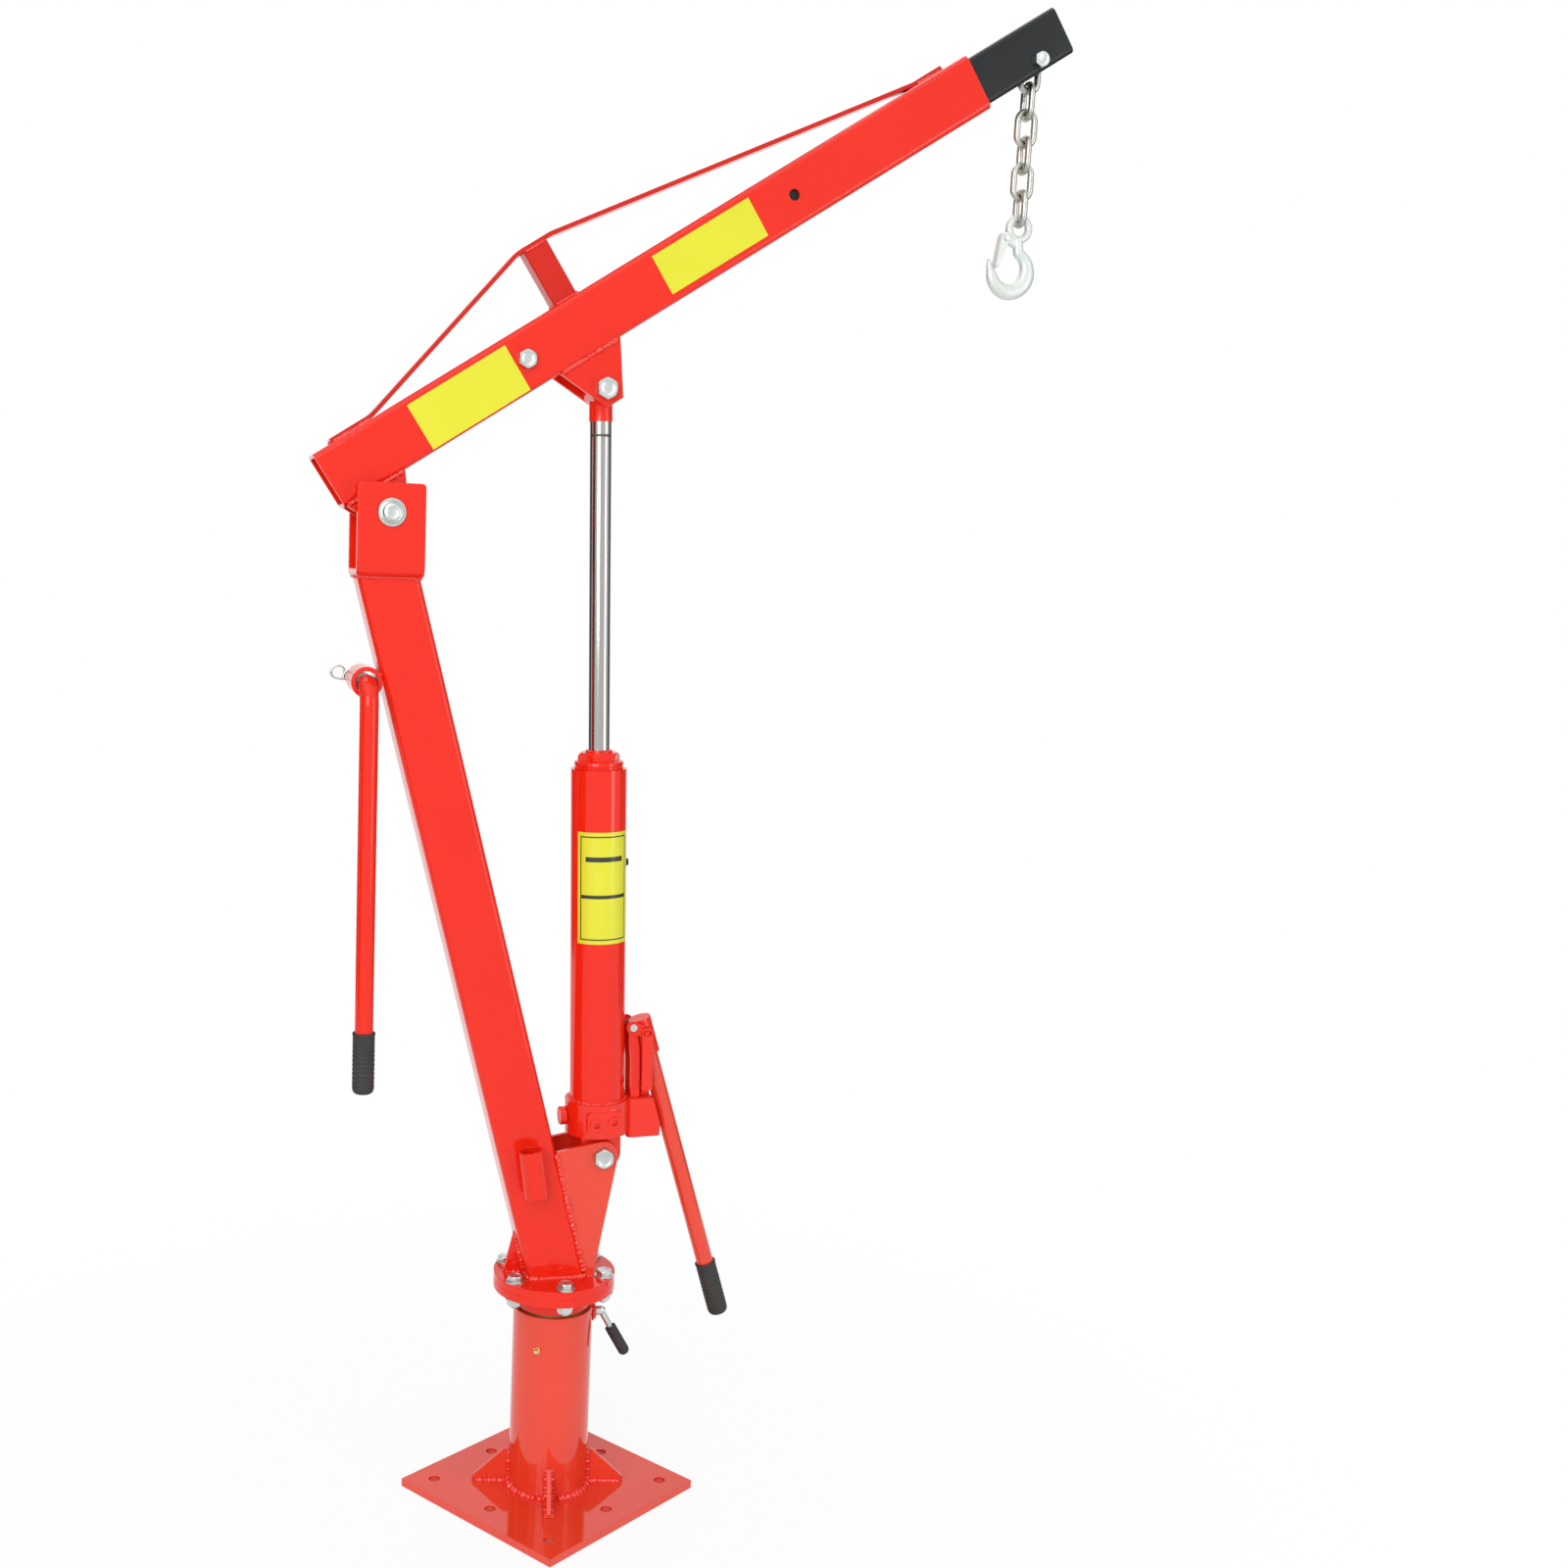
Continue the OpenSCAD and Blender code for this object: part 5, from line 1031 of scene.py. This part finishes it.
def round_mast(z, shift):
    """A loop round the mast's tube: its half sizes times cosine and sine, each raised to a low power."""
    a = np.linspace(0, 2 * np.pi, LOOP_POINTS)
    c, s = np.cos(a), np.sin(a)
    x = MAST_FOOT + shift + (MAST_HALF + 0.15) * np.sign(c) * np.abs(c) ** LOOP_POWER
    y = (MAST_SIDE + 0.1) * np.sign(s) * np.abs(s) ** LOOP_POWER
    return np.stack([x, y, np.full(LOOP_POINTS, z)], 1)


head_z = MAST_TOP - 0.4
head_shift = -(head_z - FLANGE_TOP) * math.tan(MAST_LEAN)
mast_welds = [bead(round_mast(FLANGE_TOP + 0.3, 0), 3.8, 6.0), bead(round_mast(head_z, head_shift), 2.6),
              bead(circle((FLANGE_LOW - 0.3) * UP, UP, COLLAR_R + 0.2), 2.4)]
socket_up = np.array([-math.sin(SOCKET_LEAN), 0, math.cos(SOCKET_LEAN)])
socket_side = np.array([socket_up[2], 0, -socket_up[0]])
for s in (-1, 1):
    mast_welds += [bead(up_the_mast(MAST_FRONT - 0.75, (CHEEK_OUT - 2.1) * s, CHEEK_OUTER_RUN), 4.4, 6.0),
                   bead(up_the_mast(MAST_FRONT + 0.15, (CHEEK_IN - 0.6) * s, CHEEK_INNER_RUN), 2.2),
                   bead(on_flange(CHEEK_FOOT, (CHEEK_OUT + 0.2) * s, 0.4), 2.0),
                   bead(on_flange(REAR_FOOT, REAR_SIDE * s, 0.3), 3.2, 5.0),
                   bead(up_the_mast(MAST_BACK - 0.45, REAR_SIDE * s, REAR_RUN), 3.0, 5.0)]
    seam = SOCKET_AT + SOCKET_BACK * ACROSS + SOCKET_APART * s * socket_side
    mast_welds += [bead(line(seam - SOCKET_RUN * socket_up, seam + SOCKET_RUN * socket_up), 2.2)]
    seam = np.array([LEG[0], 0, SLEEVE_Z]) - SLEEVE_FRONT * BACK_MAST + SLEEVE_APART * s * UP_MAST
    mast_welds += [bead(line(seam - SLEEVE_RUN * ACROSS, seam + SLEEVE_RUN * ACROSS), 2.0)]
weld_piece("welds_mast", mast_welds, "mast")

# %% [markdown]
# ## Welds on the boom and the jack
# The boom carries the knuckle and the lift lugs under it and the truss on top. Every seam along it comes
# in a pair, one on each side, so it is listed once: where it runs, how far to the side, how high, and how
# heavy its bead is. A ring runs round the pin on each side. The jack's barrel is welded into its cast base.

# %% Boom and jack welds
KNUCKLE, LUGS, STRUT = (-36, 38), (246, 324), (281, 309)
STRAP_REAR, STRAP_FRONT = (-11, 38), (779, 813)
STRUT_U, STRUT_HALF, STRUT_TOP = 295.0, 15.2, 161.5
STRAP_ENDS, CROSS_HALF, PIN_RING_R, BARREL_FOOT = (-13.2, 815.2), 13, 18.2, 66.2
UNDER, ON_TOP = BOOM_LOW - 0.3, BOOM_HIGH + 0.2
# Each row: from and to along the boom, how far to the side, how high, the bead's size and its ripple.
SEAMS = ((KNUCKLE, 30.0, BOOM_LOW - 0.4, 3.0, 5.0), (KNUCKLE, 24.6, BOOM_LOW - 0.4, 2.0, 3.6),
         (LUGS, 26.3, UNDER, 3.2, 5.0), (LUGS, 19.7, UNDER, 2.0, 3.6),
         (STRAP_REAR, 15.2, ON_TOP, 2.2, 3.6), (STRAP_FRONT, 15.2, ON_TOP, 2.2, 3.6),
         (STRUT, 15.2, ON_TOP, 2.0, 3.6), (STRUT, 15.1, STRUT_TOP - 0.3, 1.6, 3.6))


def cross_seam(u, w):
    """A bead across the strap's or the strut's width, at one place along the boom."""
    return bead(line(on_boom(u, -CROSS_HALF, w), on_boom(u, CROSS_HALF, w)), 2.0)


boom_welds = []
for s in (-1, 1):
    for (start, end), y, w, size, ripple in SEAMS:
        boom_welds += [bead(line(on_boom(start, y * s, w), on_boom(end, y * s, w)), size, ripple)]
    boom_welds += [cross_seam(STRUT_U + STRUT_HALF * s, ON_TOP)]
boom_welds += [cross_seam(u, BOOM_HIGH + 0.3) for u in STRAP_ENDS]
pin_rings = [circle(on_boom(0, (BOOM_SIDE + 0.2) * s, 0), ACROSS, PIN_RING_R) for s in (-1, 1)]
boom_welds += [bead(ring, 1.8) for ring in pin_rings]
weld_piece("welds_boom", boom_welds, "boom")
jack_welds = [bead(circle(on_jack(0, 0, BARREL_FOOT), UP_JACK, BARREL_R + 0.4), 2.0)]
weld_piece("welds_jack", jack_welds, "cylinder")

# %% [markdown]
# ## Yellow plates
# Two flat plates lie on the boom's side and one is wrapped round the jack. Each is a grid with its own UV
# map, a hair proud of the paint. A Solidify modifier gives it the thickness of film, and its border edges
# are marked sharp, so that the rim does not soften the shading of the face.

# %% Plates
FILM_T, FILM_OFF = 0.25, 0.05


def plate(name, points, material, body):
    """A film of the given grid of points, with UV from 0 to 1 along its rows and columns."""
    p, faces = surface(points)
    mesh = bpy.data.meshes.new(name)
    mesh.from_pydata((p * MM).tolist(), [], faces.tolist())
    rows, cols = points.shape[:2]
    v, u = np.meshgrid(np.linspace(0, 1, rows), np.linspace(0, 1, cols), indexing="ij")
    uv = np.stack([u.ravel(), v.ravel()], 1)
    corner = np.zeros(len(mesh.loops), np.int32)
    mesh.loops.foreach_get("vertex_index", corner)
    mesh.uv_layers.new(name="plate").data.foreach_set("uv", uv[corner].ravel())
    edge_of = np.zeros(len(mesh.loops), np.int32)
    mesh.loops.foreach_get("edge_index", edge_of)
    piece = finish_piece(name, mesh, material, body, (), 60)
    on_border = np.bincount(edge_of, minlength=len(mesh.edges)) == 1
    mesh.edges.foreach_set("use_edge_sharp", on_border)
    solid = piece.modifiers.new("film", "SOLIDIFY")
    solid.thickness, solid.offset = FILM_T * MM, 1.0


def boom_plate(name, along, over):
    """A flat film on the near side of the boom, from and to a place along it and over its pin."""
    u, w = np.meshgrid(np.linspace(*along, 12), np.linspace(*over, 6))
    plate(name, on_boom(u, -BOOM_SIDE - FILM_OFF, w), film_plain, "boom")


boom_plate("label_rear", along=(77, 205), over=(33, 88))
boom_plate("label_middle", along=(400, 531), over=(40, 87))
FILM_WRAP, FILM_RISE = (-150, -29), (261, 394)
wrap, height = np.meshgrid(np.radians(np.linspace(*FILM_WRAP, 40)), np.linspace(*FILM_RISE, 8))
film_r = BARREL_R + FILM_OFF
plate("label_jack", on_jack(film_r * np.cos(wrap), film_r * np.sin(wrap), height), film_framed, "cylinder")

# %% [markdown]
# ## Lamps
# One large soft lamp stands in front and to the left, a fill to the right and a strip behind and above. A
# weak, wide sun evens out the shadows. They stay at the level where the paint renders as it is written.


# %% Lamps
def facing(ahead):
    """The turn that points a lamp along a direction."""
    return Vector(ahead).to_track_quat("-Z", "Y").to_euler()


def lamp(name, at, aim, size, power):
    """A rectangular area lamp that stands at a place and faces another."""
    data = bpy.data.lights.new(name, "AREA")
    data.shape, data.energy = "RECTANGLE", power
    data.size, data.size_y = size
    light = placed(name, data)
    light.location = at
    light.rotation_euler = facing(Vector(aim) - Vector(at))


lamp("key", at=(-1.7, -2.9, 1.9), aim=(0, 0, 0.8), size=(1.6, 2.2), power=52)
lamp("fill", at=(2.4, -2.2, 1.3), aim=(0.1, 0, 0.8), size=(0.9, 2.4), power=20)
lamp("top", at=(0.2, 0.9, 3.5), aim=(0.1, 0, 0.8), size=(2.4, 0.9), power=16)
sun_data = bpy.data.lights.new("sun", "SUN")
sun_data.energy, sun_data.angle = 0.7, math.radians(70)
placed("sun", sun_data).rotation_euler = facing((0.35, 0.55, -1))
print("lamps:", len(bpy.data.lights))

# %% [markdown]
# ## White background
# The camera and reflections see the world at a strength of 1, which is white. The light that it throws on
# the crane is weaker, so the colours hold. The floor is white paper that fades into the world: near the
# crane it keeps some of its own shading, and with it the shadow.

# %% World and floor
WORLD_LIGHT = 0.44
FLOOR_HALF, FLOOR_Z = 9.0, -0.0005
WHITE = (1, 1, 1, 1)
PAPER = (0.9, 0.9, 0.9, 1)
FADE = {"From Min": 0.2, "From Max": 1.1, "To Min": 0.88, "To Max": 1.0}


def ray(graph, kind):
    """1 for rays of this kind, such as those from the camera, and 0 for others."""
    return graph.node("ShaderNodeLightPath", {}, {}, kind)


world = bpy.data.worlds.new("studio")
bpy.context.scene.world = world
world.use_nodes = True
sky = Graph(world.node_tree)
strength = ray(sky, "Is Camera Ray").maximum(WORLD_LIGHT).maximum(ray(sky, "Is Glossy Ray"))
strength = strength.maximum(ray(sky, "Is Transmission Ray"))
background = sky.tree.nodes["Background"]
sky.feed(background.inputs["Color"], WHITE)
sky.feed(background.inputs["Strength"], strength)

floor_mesh = bpy.data.meshes.new("floor")
floor_corners = [(x * FLOOR_HALF, y * FLOOR_HALF, 0) for x, y in ((-1, -1), (1, -1), (1, 1), (-1, 1))]
floor_mesh.from_pydata(floor_corners, [], [(0, 1, 2, 3)])
floor = placed("floor", floor_mesh)
floor.location.z = FLOOR_Z
paper = Finish("white_paper", Base_Color=PAPER, Roughness=0.9)
far = paper.node("ShaderNodeVectorMath", {"operation": "LENGTH"}, {0: paper.place}, "Value")
fade = paper.node("ShaderNodeMapRange", {}, {"Value": far, **FADE})
seen = ray(paper, "Is Camera Ray").maximum(ray(paper, "Is Glossy Ray"))
glow = paper.node("ShaderNodeEmission", {}, {"Color": WHITE})
matt = Field(paper, paper.shader.outputs[0])
mixed = paper.node("ShaderNodeMixShader", {}, {0: seen * fade, 1: matt, 2: glow})
paper.feed(paper.tree.nodes["Material Output"].inputs[0], mixed)
floor_mesh.materials.append(paper.material)
print("floor:", 2 * FLOOR_HALF, "m wide")

# %% [markdown]
# ## Dark cards
# Bright metal in a white room looks like paper. Three dark cards stand to the left, behind and to the
# right, where only reflections see them, and put the dark stripes on the chromed rod and the zinc.


# %% Cards
def card(name, at, wide, shade, tall=2.6, aim=(0, 0, 1.2)):
    """A dark upright card that faces the crane and that only reflections see."""
    back = (Vector(at) - Vector(aim)).normalized()
    side = Vector((0, 0, 1)).cross(back).normalized() * (wide / 2)
    rise = Vector((0, 0, tall / 2))
    corners = [Vector(at) + x * side + z * rise for x, z in ((-1, -1), (1, -1), (1, 1), (-1, 1))]
    mesh = bpy.data.meshes.new(name)
    mesh.from_pydata([tuple(corner) for corner in corners], [], [(0, 1, 2, 3)])
    mesh.materials.append(Finish(name + "_felt", Base_Color=shade, Roughness=1.0).material)
    board = placed(name, mesh)
    board.visible_camera = False
    board.visible_diffuse = False
    board.visible_shadow = False
    board.visible_transmission = False


card("card_left", (-2.6, -0.2, 1.3), 1.6, (0.06, 0.05, 0.04, 1))
card("card_back", (-1.9, 1.9, 1.3), 2.2, (0.12, 0.10, 0.08, 1))
card("card_right", (2.5, 0.7, 1.3), 2.2, (0.20, 0.21, 0.20, 1))
